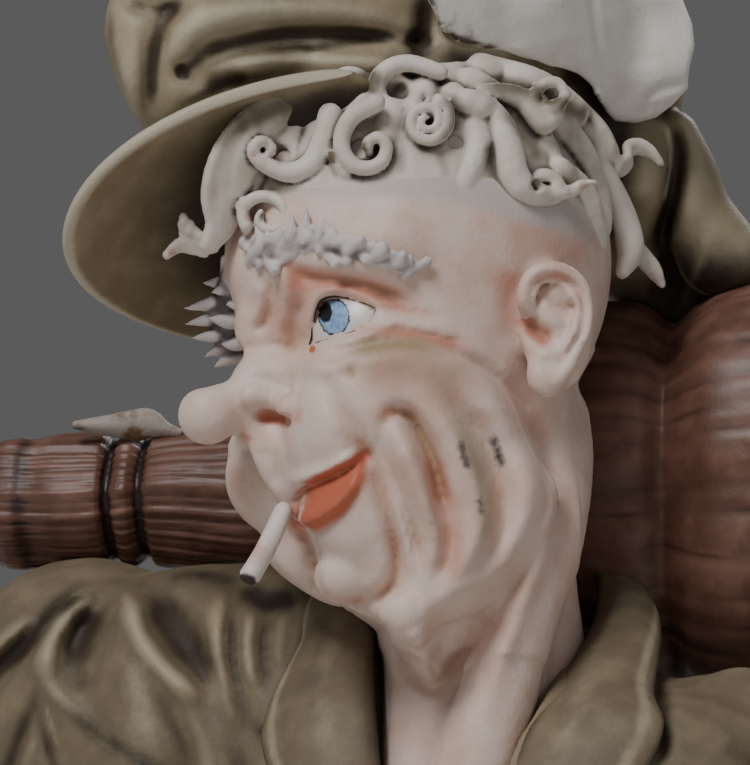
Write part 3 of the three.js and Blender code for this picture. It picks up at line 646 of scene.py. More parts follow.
# how hollow the face is at each point, for a tan wash in the hollows and creases that is also painted shade
# there
note(piece, "hollow", head.hollows(1.4))
ROUGE = (  # each stroke's half width, strength, and x and y of its points
    (1.3, 0.8, -10.9, 15.1, -9.4, 13.3, -5.6, 12.6, -1.9, 11.8, 3.4, 10.1),
    (2.0, 0.65, -9.4, 13.3, -9.9, 10.3, -9.8, 7.2, -9, 4.1),
    (2.2, 0.4, -12.9, 15.1, -10.6, 14.1, -9.4, 11.6),
    (2.4, 0.45, -14.6, 12.2, -13.6, 8.4, -11.6, 4.7),
    (2.6, 0.3, -9.4, 11.6, -3.1, 11.6, 5.6, 9.8),
    (0.9, 0.9, -0.9, 6.3, 3.1, 6.3, 8.1, 5.3, 11.6, 4.3),
    (0.7, 0.5, 0.6, 9.6, 4.4, 9.2, 8.1, 8.3),
    (0.9, 1.6, -14.8, -4.3, -12.5, -4.4, -10.5, -4.8),
    (0.8, 0.6, -9.6, -2.8, -9.5, -5.3),
    (0.7, 0.9, -17.1, -6.2, -15.4, -7.4),
    (1.0, 0.5, -4.4, -7.2, -2.6, -7.2, -0.9, -8.1),
    (1.0, 0.35, -0.1, -10.9, 1.6, -15.9, 3.1, -22.2),
    (0.9, 0.8, 1, -5.2, 1.4, -3.9, 2.9, -3.6),
    (1.0, 1.1, 6.9, -9.2, 7.9, -12.2, 8.5, -15.1),
    (1.0, 1.4, 18.9, 8.6, 19.4, 6.8, 20.6, 5.8, 22.1, 5.1),
    (0.5, 0.6, 19.6, 11.6, 21.2, 13.1, 23.8, 13.1, 25.6, 10.6, 25.6, 7.8),
    (0.5, 0.5, 25.2, 6.6, 24.4, 4.6, 23.1, 2.1),
    (2.2, 0.7, 17.1, 15.1, 16.4, 11.6, 16.6, 8.1, 17.4, 5.6),
    (4.2, 0.6, 15.6, 21.1, 21.9, 18.8, 26.9, 14.3),
    (2.6, 0.5, 16.6, 2.8, 18.4, -1.6, 20.1, -5.3, 20.9, -9.1),
    (2.4, 0.4, 20.1, -22.2, 17.1, -29.1, 15.4, -34.7, 13.6, -39.7),
    (1.6, 0.4, 8.9, -25.2, 10.1, -22.2, 9.6, -17.2),
    (2.4, 0.35, 23.9, -12.2, 23.9, -19.7, 23.1, -27.2),
    (2.0, 0.55, -17.1, -9.9, -17.6, -12.7, -16.4, -15.3),
    (0.8, 0.4, -7.1, -23.9, -5.6, -26.9, -2.9, -27.2, -0.4, -26.2),
    (1.2, 0.4, 2.5, -20.3, 2.6, -24.1, 0.6, -26.7),
    (4.4, 0.6, -2.9, 1.1, 1.9, 1.8, 7.6, 0.3, 12.4, -3.4),
    (4.2, 0.45, 2.6, -5.9, 6.6, -13.4, 9.1, -20.3, 7.9, -25.9),
    (5.0, 0.3, 3.1, -48.4, 8.1, -44.7, 11.9, -48.4),
)
note(piece, "rouge", head.painted(ROUGE))
LIP_PAINT = (
    (0.9, 1.0, -0.6, -8.4, -2.9, -10.2, -5.6, -11.7, -8.9, -12.8),
    (1.3, 0.9, -3.4, -10.9, -6.2, -12.7, -9.4, -13.9),
    (1.8, 1.0, -0.9, -9.4, -2.9, -12.2, -5.6, -14.7, -8.4, -15.9, -11.6, -15.9),
    (1.2, 0.9, -2.1, -12.2, -4.6, -15.7, -7.4, -17.8, -11.4, -17.7),
    (0.5, 2.0, -8.2, 4.2, -7.5, 4.1),
    (0.8, 0.75, -14.6, -4.3, -12.6, -4.4, -10.9, -4.8),
    (0.8, 0.5, 19, 8.3, 19.6, 6.6, 21, 5.7),
)
note(piece, "lips", head.painted(LIP_PAINT))
# olive-brown stain in the folds of the cheek and round the eye, and painted shade on the nose, in a dimple of
# the cheek and on the chin
STAIN_AND_SHADE = (
    (0.8, 0.9, -4, 3.6, -0.4, 4.6, 3.8, 4.9, 8.1, 4.2),
    (4.0, 0.8, -3.8, 2.1, 1.9, 2.8, 8.1, 1.3, 11.4, -2.2),
    (2.0, 0.9, 9.1, -3.4, 11.4, -7.8, 13.4, -12.2, 14, -15.9, 13, -22.2),
    (2.2, 0.6, 2.1, -8.4, 4.4, -12.2, 6.4, -17.2, 6.9, -22.2),
    (0.8, 0.9, 2.9, -3.9, 5.1, -5.9, 6.9, -8.7, 7.9, -11.9),
    (3.0, 0.4, -22.9, -3.4, -20.9, -5.2),
    (2.0, 0.5, -15.9, 1.3, -11.9, 1.3, -7.9, 1.6),
    (1.0, 0.5, 22.6, 11.8, 23.9, 10.8),
    (0.8, 0.9, -3.8, 1.3, -2.4, 1.1),
    (2.4, 0.4, -5.6, -24.1, -3.8, -24.7),
)
note(piece, "stain_and_shade", head.painted(STAIN_AND_SHADE))
SMUDGES = (
    (0.7, 1.3, 10.5, -6.9, 11.1, -9.2, 11.8, -11.2),
    (0.8, 1.3, 14.5, -6.2, 15.4, -8.8, 16.1, -11.2),
    (0.6, 1.1, 13.1, -14.2, 13.4, -16.9),
)
note(piece, "smudges", head.painted(SMUDGES))
HAIRLINE = (
    (1.8, 0.8, -11.6, 23.8, -4.4, 24.4, 3.1, 24.7, 10.6, 24.1, 18.1, 21.8, 25.6, 18.8, 28.1, 15.1),
    (2.8, 1.4, -11.4, 26.3, -4.4, 26.8, 3.1, 27.1, 10.6, 26.6, 19.4, 24.1, 26.9, 21.1),
    (5.0, 2.0, -9.4, 30.3, 3.1, 31.6, 18.1, 29.1, 28.1, 24.1),
)
note(piece, "hairline", head.painted(HAIRLINE))
skin = bisque("painted_skin", "#dcc8bd", (
    ("#d3b3a3", "mottle", 0.25, 0.85, 0.5, 90),
    ("#c28471", "rouge", 0.0, 1.25, 0.3, 300),
    # painted shade: a tan wash, deeper in the hollows and creases
    ("#b48a70", "hollow", 0.08, 0.55, 0.25, 300),
    # olive-brown stain and painted shade, in strokes
    ("#a08b6c", "stain_and_shade", 0.1, 1.7, 0.5, 420),
    ("#bd674c", "lips", 0.15, 1.1, 0.7, 420),
    ("#c4b9b2", "hairline", 0.05, 1.3, 0.3, 260),
    ("#4f4843", "smudges", 0.3, 1.6, 1.5, 1500),
), rough=0.5)
fit(piece, skin, "sweeper_figure")


# Eyes: part of the bisque head, with the whites, the pale blue irises and the lid lines painted
# over the glaze before the last firing. Each is a fine patch that lies on the modelled eyeball.
EYE_PROUD, EYE_INSIDE = 0.05, 0.88  # how far the patch stands off the eyeball, and its back's share
IRIS_MIDDLE, IRIS_SIZE = (-5.1, 8.2), (1.9, 2.2)
PUPIL_MIDDLE, PUPIL_SIZE = (-6.2, 8.8), (0.85, 1.3)


def on_eyeball(x, y):
    """The places on the near eyeball, in the head's frame, seen at points of the drawing plane."""
    rays = look * VIEW_DISTANCE + np.outer(x, right) + np.outer(y, up)
    rays /= np.linalg.norm(rays, axis=1, keepdims=True)
    middle = head.to_world(EYE_MIDDLE) - eye
    along = rays @ middle
    back = np.sqrt(np.maximum(along**2 - middle @ middle + (EYE_RADIUS + EYE_PROUD) ** 2, 0))
    return head.from_world(eye + rays * (along - back)[:, None])


def skinned(name, face, back, wide):
    """A thin closed body between a grid of points in front and one behind, wide points a row."""
    count, rows = len(face), len(face) // wide
    faces = []
    for row in range(rows - 1):
        for column in range(wide - 1):
            a = row * wide + column
            front = (a, a + 1, a + wide + 1, a + wide)
            faces += [front, tuple(v + count for v in front[::-1])]
    edge = list(range(wide)) + [wide * r + wide - 1 for r in range(1, rows)]
    edge += [count - 2 - i for i in range(wide - 1)] + [wide * r for r in range(rows - 2, 0, -1)]
    for a, b in zip(edge, edge[1:] + edge[:1]):
        faces.append((b, a, a + count, b + count))
    return modelled(name, np.vstack([face, back]), faces)


def along(line, count):
    """Points spaced evenly along a smooth line."""
    line = smooth_rows(line, 12)
    run = np.concatenate([[0], np.cumsum(np.linalg.norm(np.diff(line, axis=0), axis=1))])
    spots = np.linspace(0, run[-1], count)
    return np.array([np.interp(spots, run, line[:, i]) for i in range(line.shape[1])]).T


WIDE, TALL = 61, 33
eye_paint, tree = new_paint("painted_eye", {"Roughness": 0.3})
plan = add(tree, "UVMap", {}, uv_map="plan").outputs[0]
jag = add(tree, "TexNoise", {"Vector": plan, "Scale": 1.6, "Detail": 1.0}).outputs["Fac"]


def round_mark(middle, size, rough):
    """How far out of a painted oval a place is, 1 on its edge."""
    off = add(tree, "VectorMath", {0: plan, 1: (*middle, 0)}, operation="SUBTRACT").outputs[0]
    off = add(tree, "VectorMath", {0: off, 1: (1 / size[0], 1 / size[1], 0)}, operation="MULTIPLY").outputs[0]
    far = add(tree, "VectorMath", {0: off}, operation="LENGTH").outputs["Value"]
    return add(tree, "Math", {0: jag, 1: rough, 2: far}, operation="MULTIPLY_ADD").outputs[0]


def laid_on(under, over, far, low, high):
    """One colour over another, from far = high (none) down to far = low (all)."""
    mask = add(tree, "MapRange", {"Value": far, "From Min": high, "From Max": low}).outputs[0]
    return mixed(tree, mask, under, over)


iris = round_mark(IRIS_MIDDLE, IRIS_SIZE, 0.3)
colour = laid_on(shade_of("#d8d0cb"), shade_of("#26313c"), iris, 1.16, 1.21)
blue = laid_on(shade_of("#8fb3d6"), shade_of("#7799c4"), jag, 0.4, 0.6)
colour = laid_on(colour, blue, iris, 1.07, 1.12)
pupil = round_mark(PUPIL_MIDDLE, PUPIL_SIZE, 0.25)
colour = laid_on(colour, shade_of("#1d2126"), pupil, 1.02, 1.2)
tree.links.new(colour, tree.nodes["Principled BSDF"].inputs["Base Color"])
upper, lower = along(UPPER_LID, WIDE), along(LOWER_LID, WIDE)
share = np.linspace(0, 1, TALL)[:, None, None]
seen = (lower + share * (upper - lower)).reshape(-1, 2)
for name, side in (("eye_near", 1), ("eye_far", -1)):
    face = on_eyeball(seen[:, 0], seen[:, 1])
    back = EYE_MIDDLE + (face - EYE_MIDDLE) * EYE_INSIDE
    face, back = face * (1, side, 1), back * (1, side, 1)
    if side < 0:
        face, back = back, face
    piece = skinned(name, head.to_world(face), head.to_world(back), WIDE)
    layer = piece.data.uv_layers.new(name="plan")
    corners = np.array([loop.vertex_index for loop in piece.data.loops])
    layer.data.foreach_set("uv", np.tile(seen, (2, 1))[corners].astype(np.float32).ravel())
    fit(piece, eye_paint, "sweeper_figure")


def ringed(name, points, sides):
    """A closed body through rings of points, one after another."""
    faces = [tuple(range(sides))[::-1], tuple(range(len(points) - sides, len(points)))]
    for first in range(0, len(points) - sides, sides):
        for i in range(sides):
            a, b = first + i, first + (i + 1) % sides
            faces.append((a, b, b + sides, a + sides))
    return modelled(name, points, faces)


def tube(name, rows, sides=10):
    """A closed round line of paint through rows of x, y, z, radius."""
    rows = smooth_rows(rows, 6)
    middles, radii = rows[:, :3], rows[:, 3:4]
    way = np.gradient(middles, axis=0)
    way /= np.linalg.norm(way, axis=1, keepdims=True)
    side = np.cross(way, look)
    side /= np.linalg.norm(side, axis=1, keepdims=True)
    over = np.cross(side, way)
    turns = np.arange(sides) * tau / sides
    rings = [middles + radii * (np.cos(t) * side + np.sin(t) * over) for t in turns]
    return ringed(name, np.stack(rings, axis=1).reshape(-1, 3), sides)


line_paint = bisque("lid_line_paint", "#33241d", (("#4f382d", "mottle", 0.4, 0.8, 0.6, 400),), rough=0.4)
for name, lid, widths in (
    ("lid_line_upper", UPPER_LID, (0.1, 0.14, 0.16, 0.2, 0.26, 0.26, 0.2, 0.15, 0.1, 0.06)),
    ("lid_line_lower", LOWER_LID[1:], (0.14, 0.1, 0.12, 0.12, 0.1, 0.08, 0.04)),
):
    laid = head.touch(lid)
    for end, side in (("near", 1), ("far", -1)):
        rows = [(*p, w) for p, w in zip(head.to_world(laid * (1, side, 1)), widths)]
        fit(tube(name + "_" + end, rows), line_paint, "sweeper_figure")


# Eyebrows: small tufts of soft clay pinched to points and pressed on one by one, left nearly
# white on their tips, with painted shade in dark grey in the hollows between them.
NEAR_BROW_TOP = (
    (-16.5, 19.7), (-13.4, 20.1), (-10.9, 21.3), (-8.9, 21.6), (-7.1, 20.1), (-3.5, 18.7), (-0.4, 17.8),
    (2.5, 16.3), (5.8, 15.6),
)
NEAR_BROW_FOOT = (
    (-15.9, 15.1), (-14.6, 13.3), (-12.5, 13.8), (-10.6, 15.1), (-8.1, 15.6), (-5, 15.1), (-1.6, 14.8),
    (1.2, 14.3), (4.4, 12.8),
)
TUFTS, SPOTS = 46, 60
viewer = -look @ head_frame[:3, :3]  # towards the viewer
chance = np.random.default_rng(5)
brows = Clay(head_frame, (-2, -25, -14), (32, 25, 12), 0.3)
top, foot = along(NEAR_BROW_TOP, SPOTS), along(NEAR_BROW_FOOT, SPOTS)
for i in range(TUFTS):
    t = (i + chance.uniform(-0.3, 0.3)) / (TUFTS - 1)
    place = int(np.clip(t * (SPOTS - 1), 0, SPOTS - 1))
    span = top[place] - foot[place]
    start = foot[place] + span * chance.uniform(0.1, 0.65)
    tip = foot[place] + span * chance.uniform(0.75, 1.1) + (chance.uniform(0.4, 1.9), 0)
    if i % 4 == 0:
        tip = start - span * chance.uniform(0.2, 0.5) + (chance.uniform(-0.8, 0.2), 0)
    middle = (start + tip) / 2 + (chance.uniform(0.3, 0.9), chance.uniform(-0.3, 0.3))
    width, lift = chance.uniform(0.55, 0.95), chance.uniform(0.7, 2.0)
    laid = head.touch((start, middle, tip), 0.25)
    middle, tip = laid[1] + viewer * lift * 0.7, laid[2] + viewer * lift
    rows = np.array([(*laid[0], width), (*middle, width * 0.8), (*tip, 0.12)])
    brows.roll(rows, 0.35)
    if foot[:, 0].min() + 3 < start[0]:
        brows.roll(rows * (1, -1, 1, 1), 0.35)  # the far brow
brow_base = np.array([(*p, 0.8) for p in head.touch((top + foot)[::6] / 2, 0.5)])
brows.roll(brow_base, 0.8)
brows.roll(brow_base * (1, -1, 1, 1), 0.8)
# the far brow's spikes, which stand out beside the nose
brows.roll(((22.6, -2, 0.9, 2.7), (22.5, -5, -0.8, 2.7), (22.5, -7, -3.1, 2.7), (21.5, -9, -5.3, 2.7)), 0.8)
FAR_SPIKES = (  # root and tip of each
    ((21.5, -3, 0.5), (26.6, -6, 1.3)), ((21.8, -4, -0.8), (28.9, -7, -1.8)),
    ((21.8, -5, -2.3), (28.6, -8, -3.5)), ((21.8, -6, -4), (27.5, -9, -5)), ((21.3, -7, -5), (25.6, -10, -7)),
    ((20.5, -8, -6), (24.5, -10, -8.4)), ((22.4, -2, -0.6), (26.2, -4, -0.4)),
    ((21.7, -4, -3.6), (26.6, -5, -3.5)), ((21.2, -5, -5.5), (24.3, -7, -6.3)),
    ((21.5, -2, 1.3), (24.7, -4, 2.5)), ((21.2, -2, -1.9), (24.8, -3, -2.2)),
)
for root, tip in FAR_SPIKES:
    root, tip = np.array(root), np.array(tip)
    bend = (root + tip) / 2 + (0, 0, chance.uniform(-0.5, 0.2))
    brows.roll([(*root, 1.6), (*bend, 1.05), (*tip, 0.14)], 0.4)
piece = brows.fired("eyebrows")
note(piece, "hollow", brows.hollows(1.1))
brow_paint = bisque("brow_clay", "#cdc4c3", (
    # painted shade: dark grey all over but on the proud tips
    ("#4f494c", "hollow", -0.18, 0.05, 0.2, 500),
    ("#a79b9c", "mottle", 0.45, 0.9, 0.3, 300),
))
fit(piece, brow_paint, "sweeper_figure")


# Hair: strips of clay, rolled up at their ends like noodles and laid on the skull with slip, over a
# fringe of combed locks. Left cream white, with painted shade in grey in the hollows and darker
# in the creases.
HAIR_BLOCK = (-34, -27, -8), (37, 27, 34)
hair = Clay(head_frame, *HAIR_BLOCK, 0.39)
hair.lump((0, 0, 6.6), (24.3, 20.3, 25.6))
whole, (forward, _, rise) = hair.around(*HAIR_BLOCK)
hair.away[whole] = np.maximum(hair.away[whole], 2 + 0.3 * forward - rise)  # bare below the hairline


STEP = 0.5  # length of one stretch of a strip


def lay(points, radii, lift, stiff, deep=None, soft=0.22, mirrored=False):
    """Lays a strip on the hair as it is seen: its half thickness from root to tip, how far it is
    lifted off, how far it keeps to a plane (1) or hugs what is under it (0), and if it is a flat
    strip seen on its edge, half its width. Where there is no hair it lies on the skull."""
    length = np.hypot(*np.diff(np.array(points), axis=0).T).sum()
    path = along(points, int(length / STEP) + 4)
    spots, skull = hair.touch(path), head.touch(path)
    on_brow = (head.sampled(head.away, skull) < 0.3) & (skull[:, 2] < 10)
    bald = (hair.sampled(hair.away, spots) > 0.5) | (on_brow & ((skull - spots) @ viewer > 3))
    spots[bald] = skull[bald]
    depth = spots @ viewer
    moved = lift + stiff * (np.median(depth) - depth)
    radius = np.interp(np.linspace(0, 1, len(path)), np.linspace(0, 1, len(radii)), radii)
    radius[-1] *= 0.7
    spots = spots + viewer * moved[:, None]
    for side in (1, -1) if mirrored else (1,):
        if deep is None:
            hair.roll([(f, side * l, u, r) for (f, l, u), r in zip(spots, radius)], soft, steps=1)
        else:
            rows = [(f, l, u, max(deep, r), r) for (f, l, u), r in zip(spots, radius)]
            hair.roll(rows, soft, steps=1, across=viewer)


COMBED = (  # the fringe that lies on the skull
    (((-2.9, 38.1), (-6.4, 35.6), (-9.4, 32.6), (-11.1, 29.3), (-11.9, 26.3)), (2.6, 2.4, 1.6), -1.5),
    (((-1.1, 34.8), (-2.9, 31.3), (-3.8, 28.4), (-3.9, 25.8)), (1.8, 1.6, 0.8), -1.2),
    (((2.9, 36.6), (1.6, 31.8), (0.5, 28.1), (0.5, 25.2)), (2.0, 1.7, 0.9), -1.3),
    (((6.2, 36.6), (4.6, 31.8), (4.6, 28.1), (5.5, 25.1)), (2.0, 1.7, 0.9), -1.3),
    (((9.6, 35.8), (12.1, 33.1), (12.8, 29.1), (11.1, 24.6)), (1.8, 1.6, 1.1), -0.4),
    (((11.9, 37.3), (18.1, 33.3), (21.4, 29.1), (22.6, 25.8)), (2.2, 2.0, 1.4), -1.1),
    (((18.1, 36.3), (23.4, 31.3), (26.4, 26.8), (27.9, 22.2), (28.1, 18.8)), (2.2, 2.2, 1.5), -0.9),
    (((13.1, 39.1), (20.6, 36.8), (26.9, 31.8), (28.9, 28.6)), (2.2, 2.2, 1.8), -0.9),
    (((9.4, 35.8), (12.9, 34.6), (15.2, 32.3), (16.5, 29.3), (17.1, 26.3), (18.6, 24.2), (21.1, 23.3),
        (22.9, 23.4)), (1.2, 1.9, 2.1, 1.9, 1.0), 0.5),
    (((23.1, 26.8), (25.9, 24.1), (27.4, 20.1), (28.1, 17.1)), (1.4, 1.6, 1.0), 0.0),
)
for points, radii, lift in COMBED:
    lay(points, radii, lift, 0.0, soft=0.6, mirrored=True)
LOOSE_LOCKS = (  # ends that stand clear of the skull
    ((-16, 10, 21.1, 1.9), (-19.7, 9, 18.7, 2.1), (-22.5, 8, 15.9, 1.9), (-24, 8, 13.6, 1.2)),
    ((-20.6, 9, 14.5, 1.6), (-23.1, 8, 10.5, 1.9), (-25.2, 7, 6.4, 1.9), (-25.6, 7, 3, 1.7),
        (-24.3, 7, 0.3, 0.9)),
    ((-26.6, 4, 6, 1.0), (-28.5, 4, 3.4, 1.2), (-29.9, 4, 1.6, 1.1), (-30.9, 4, -0.3, 0.5)),
)
for rows in LOOSE_LOCKS:
    hair.roll(rows, 0.5)


def coil(middle, wide, tight, turns, start):
    """A spiral on the drawing plane, clockwise, from radius wide to radius tight."""
    share = np.linspace(0, 1, int(14 * abs(turns)))
    angle = radians(start) - tau * turns * share
    radius = wide + (tight - wide) * share
    return np.array([np.cos(angle) * radius, np.sin(angle) * radius]).T + middle


FLAT_LOCK = (  # falls in front of the brow: x, y, z, half width
    (13.7, 11.5, 21, 2.6), (18.1, 11, 19.2, 3.2), (22.6, 10, 16.8, 3.5), (25.9, 8.5, 13.3, 3.5),
    (27.2, 6, 9.4, 3.0), (27, 4, 6.2, 2.2), (28.5, 2.5, 3.5, 1.2),
)
hair.roll([(*row, 0.9) for row in FLAT_LOCK], 0.4, across=(0.62, 0.45, 0.64))
lay(((-13.9, 26.8), (-14.9, 24.6), (-15.5, 22.3)), (1.0, 1.0, 0.9), 0.4, 0.6)
CURL_HOLES = (
    ((2.9, 36.7), 1.5), ((-12.2, 28.3), 1.5), ((-1.8, 29.3), 1.3), ((-13.8, 20.9), 1.3), ((20.2, 24.8), 0.9),
    ((-5.5, 28.1), 0.9), ((10.1, 30.1), 0.9), ((9, 34.3), 1.0), ((5.6, 35.6), 0.8),
)
for spot, size in CURL_HOLES:
    hair.lump(hair.touch((spot,), 0.2)[0], (size, size, size), 0.4, cut=True)
CURLS = (  # half width, half thickness from root to tip, how far lifted, places
    (1.5, (1.0, 1.1, 1.15, 1.0, 0.7), 1.2, ((8.1, 38.6), (6.1, 39.3), (4.1, 39.7), (2.1, 39.3), (0.6, 38.1),
        (0.2, 36.4), (1, 34.8), (2.8, 34.2), (4.5, 34.8), (5.5, 35.9))),
    (1.2, (0.8, 0.7, 0.55, 0.35), 1.5, coil((6.5, 32.6), 2.9, 0.45, 1.9, 60)),
    (1.5, (1.2, 1.1, 0.95, 0.8, 0.6), 1.2, ((0.1, 34.8), (-2.6, 33.3), (-4, 31.1), (-4, 28.8), (-2.6, 27.1),
        (-0.6, 26.8), (1, 27.8), (1.4, 29.6), (0.4, 30.6), (-0.9, 29.9), (-0.6, 28.8))),
    (1.6, (1.5, 1.6, 1.2, 0.85, 0.5), 1.2, ((-5.6, 33.3), (-6.4, 30.1), (-7.8, 27.4), (-10.4, 26.2),
        (-13.1, 26.8), (-14.8, 28.1), (-15.1, 29.3), (-14.1, 30.1), (-13, 29.3), (-13.4, 28.2))),
    (1.3, (0.8, 0.75, 0.65, 0.5), 1.1, ((-16, 19.3), (-16.4, 21.2), (-15.5, 22.7), (-13.8, 23.2),
        (-12, 22.6), (-11.1, 21.1), (-11.8, 19.4), (-13.5, 19.1), (-14.5, 20.1), (-14.2, 21.3))),
    (1.7, (1.0, 1.2, 1.4, 1.5, 1.3, 1.0), 0.8, ((13.6, 36.3), (16.4, 36.1), (18.6, 35.2), (19.9, 33.6),
        (21, 32.3), (22.2, 33.2), (22.6, 34.6))),
    (1.5, (0.8, 0.75, 0.7, 0.6, 0.5), 2.0, ((19.5, 33.8), (19.8, 35.6), (20.6, 36.9), (22, 37.4),
        (23.2, 36.6), (23.5, 35.2), (22.6, 34.2), (21.4, 34.4), (21, 35.4))),
    (1.1, (0.9, 0.9, 1.0, 0.8, 0.4), 1.0, ((19.5, 23.2), (19.8, 24.8), (21, 25.8), (22.4, 25.2),
        (23.1, 23.8), (24.6, 23.8), (25.6, 24.6), (27.1, 24.8))),
    (1.0, (1.0, 0.9, 0.6), 0.2, ((-3.6, 26.3), (-4.6, 27.6), (-5.5, 28.6))),
)
for deep, radii, lift, points in CURLS:
    lay(points, radii, lift, 0.75, deep)
TWISTS = (  # the free twisted ends: half widths, half thickness, which way the strip is broad
    ((1.2, 1.3, 1.3, 1.2, 1.1, 0.9), 0.55, (0.5, 0.3, 0.8), ((27.7, 2.5, 3.8), (28.6, 1.5, 4.3),
        (29.6, 1, 5.1), (30.6, 1, 6), (30.8, 1.5, 6.6), (30.8, 1, 7.4))),
    ((1.2, 1.1, 1.0, 0.6), 0.5, (0.3, 0.6, 0.7), ((28.3, 1, 3.5), (30, 0, 4.2), (31.5, 0, 4.2),
        (33.1, 0, 2.9))),
    ((1.4, 1.4, 1.3, 1.3, 1.2, 1.0, 0.5), 0.6, (0.3, 0.6, 0.6), ((-23.5, 8, 14.1), (-24.8, 8, 13.7),
        (-26.2, 7.5, 14.9), (-26.5, 7, 16.4), (-27.9, 7, 16.9), (-29.5, 7, 16.2), (-30.8, 7, 14.8))),
)
for widths, thick, way, rows in TWISTS:
    hair.roll([(*p, wide, thick) for p, wide in zip(rows, widths)], 0.25, across=way)
COMBED_LINES = (
    (0.7, 0.5, -7.4, 34.8, -10.9, 32.3, -14.1, 28.8),
    (0.8, 0.4, -9.4, 35.8, -14.1, 33.6, -17.9, 30.1, -19.6, 25.3, -20.1, 19.6),
    (0.6, 0.3, -16.1, 31.8, -17.9, 27.8, -18.4, 22.8),
    (0.5, 0.35, -8.6, 32.3, -9.6, 29.6, -10.1, 27.8),
    (0.5, 0.35, 25.9, 33.8, 28.4, 30.8, 29.6, 28.6),
    (0.5, 0.4, 21.6, 31.3, 24.6, 28.3, 26.9, 24.1, 27.9, 19.8),
)
hair.relief(COMBED_LINES)
piece = hair.fired("hair")
note(piece, "hollow", hair.hollows(1.6))
note(piece, "creases", hair.hollows(0.7))
HAIR_SHADE = (
    (1.4, 1.2, -2.6, 37.1, -0.4, 38.1, -1.1, 35.8),
    (2.2, 1.1, -17.4, 32.1, -11.9, 34.6, -4.4, 36.6),
    (1.6, 0.8, -20.4, 29.1, -19.1, 31.3, -15.6, 32.8),
    (1.4, 0.8, 8.1, 36.3, 9.6, 34.8, 9.6, 32.3, 8.1, 29.3),
    (1.4, 1.1, 11.9, 37.3, 18.1, 36.8, 24.6, 34.3, 28.1, 31.6),
    (1.2, 0.9, 15.6, 34.8, 19.4, 30.1, 20.6, 26.8),
    (1.4, 0.5, 23.1, 32.8, 26.9, 27.8, 28.6, 22.8),
    (1.2, 1.6, 2.6, 37.1, 3.4, 36.1),
    (1.2, 1.1, -11.9, 28.8, -11.1, 27.8),
    (0.9, 1.2, -1.9, 30.1, -1.6, 28.6),
    (1.0, 1.2, -14.1, 21.3, -13.4, 20.6),
    (0.7, 1.4, 21.6, 35.9, 22, 35.6),
    (0.8, 1.2, 20, 25.6, 20.4, 24.1),
    (0.7, 1.4, -5.6, 29.1, -5.4, 27.1),
    (1.0, 0.6, 3.1, 29.1, 3.4, 25.8),
    (1.0, 0.6, 8.1, 29.1, 8.9, 25.3),
    (1.0, 0.9, 14.1, 30.3, 14.9, 24.8),
    (0.9, 0.5, -1.9, 25.8, -1.1, 24.8),
)
note(piece, "shade", hair.painted(HAIR_SHADE))
HAIR_TIPS = (
    (0.7, 0.8, -15.4, 29.1, -14.9, 28.1),
    (0.8, 0.8, -26.1, 16.1, -24.9, 16.6),
    (0.7, 0.7, 25.4, 24.4, 27.1, 24.8),
    (0.8, 0.8, -16.1, 21.3, -15.4, 20.1),
    (0.9, 0.6, 34.4, 14.1, 35.9, 12.2),
)
note(piece, "tips", hair.painted(HAIR_TIPS))
hair_paint = bisque("hair_clay", "#d9d0c6", (
    ("#c6bbad", "mottle", 0.3, 0.8, 0.5, 150),
    # painted shade: grey in the hollows, the shade strokes painted shadow under the cap and in the curls,
    # near black in the creases
    ("#a0968a", "hollow", -0.02, 0.22, 0.2, 350),
    ("#6b6050", "shade", 0.1, 1.2, 0.5, 300),
    ("#3d352d", "creases", 0.05, 0.3, 0.15, 420),
    ("#b98f7c", "tips", 0.2, 1.0, 0.5, 500),
))
fit(piece, hair_paint, "sweeper_figure")


# Cap: a big soft flat cap of olive bisque, pulled askew. It was modelled solid, folded over the
# peak in fat rolls and painted olive, with painted shade in brown-black in its hollows and
# painted highlights on its ridges.
CAP_RISE, CAP_ASKEW = 9.3, radians(33)
cap_frame = head_frame.copy()
cap_frame[:3, 1] = head_left * cos(CAP_ASKEW) + head_up * sin(CAP_ASKEW)
cap_frame[:3, 2] = head_up * cos(CAP_ASKEW) - head_left * sin(CAP_ASKEW)
cap_frame[:3, 3] = head_frame[:3, 3] + head_up * CAP_RISE
cap = Clay(cap_frame, (-62, -40, -16), (48, 40, 42), 0.55)
for middle, size, soft in (
    ((-1, 0, 21), (40.5, 34, 16.5), 3),  # crown
    ((0, 0, 7), (24.5, 22.5, 6.5), 3),  # band
    ((28, 8, 16), (13, 17, 13), 4),  # fold over the peak
    ((-30, -6, 10), (11, 12, 9), 3),  # lobe at the nape
):
    cap.lump(middle, size, soft)
cap.roll(((-48, -18, 9, 9.5), (-34, -10, 14, 9.5)), 3)  # end of the lobe
# roll over the peak's root
ROOT_RADIUS, ROOT_TURNS = 20.5, np.radians((-14, -32, -50, -68, -84))
cap.roll([(ROOT_RADIUS * cos(t), ROOT_RADIUS * sin(t), 3.4, 3.8) for t in ROOT_TURNS], 3)
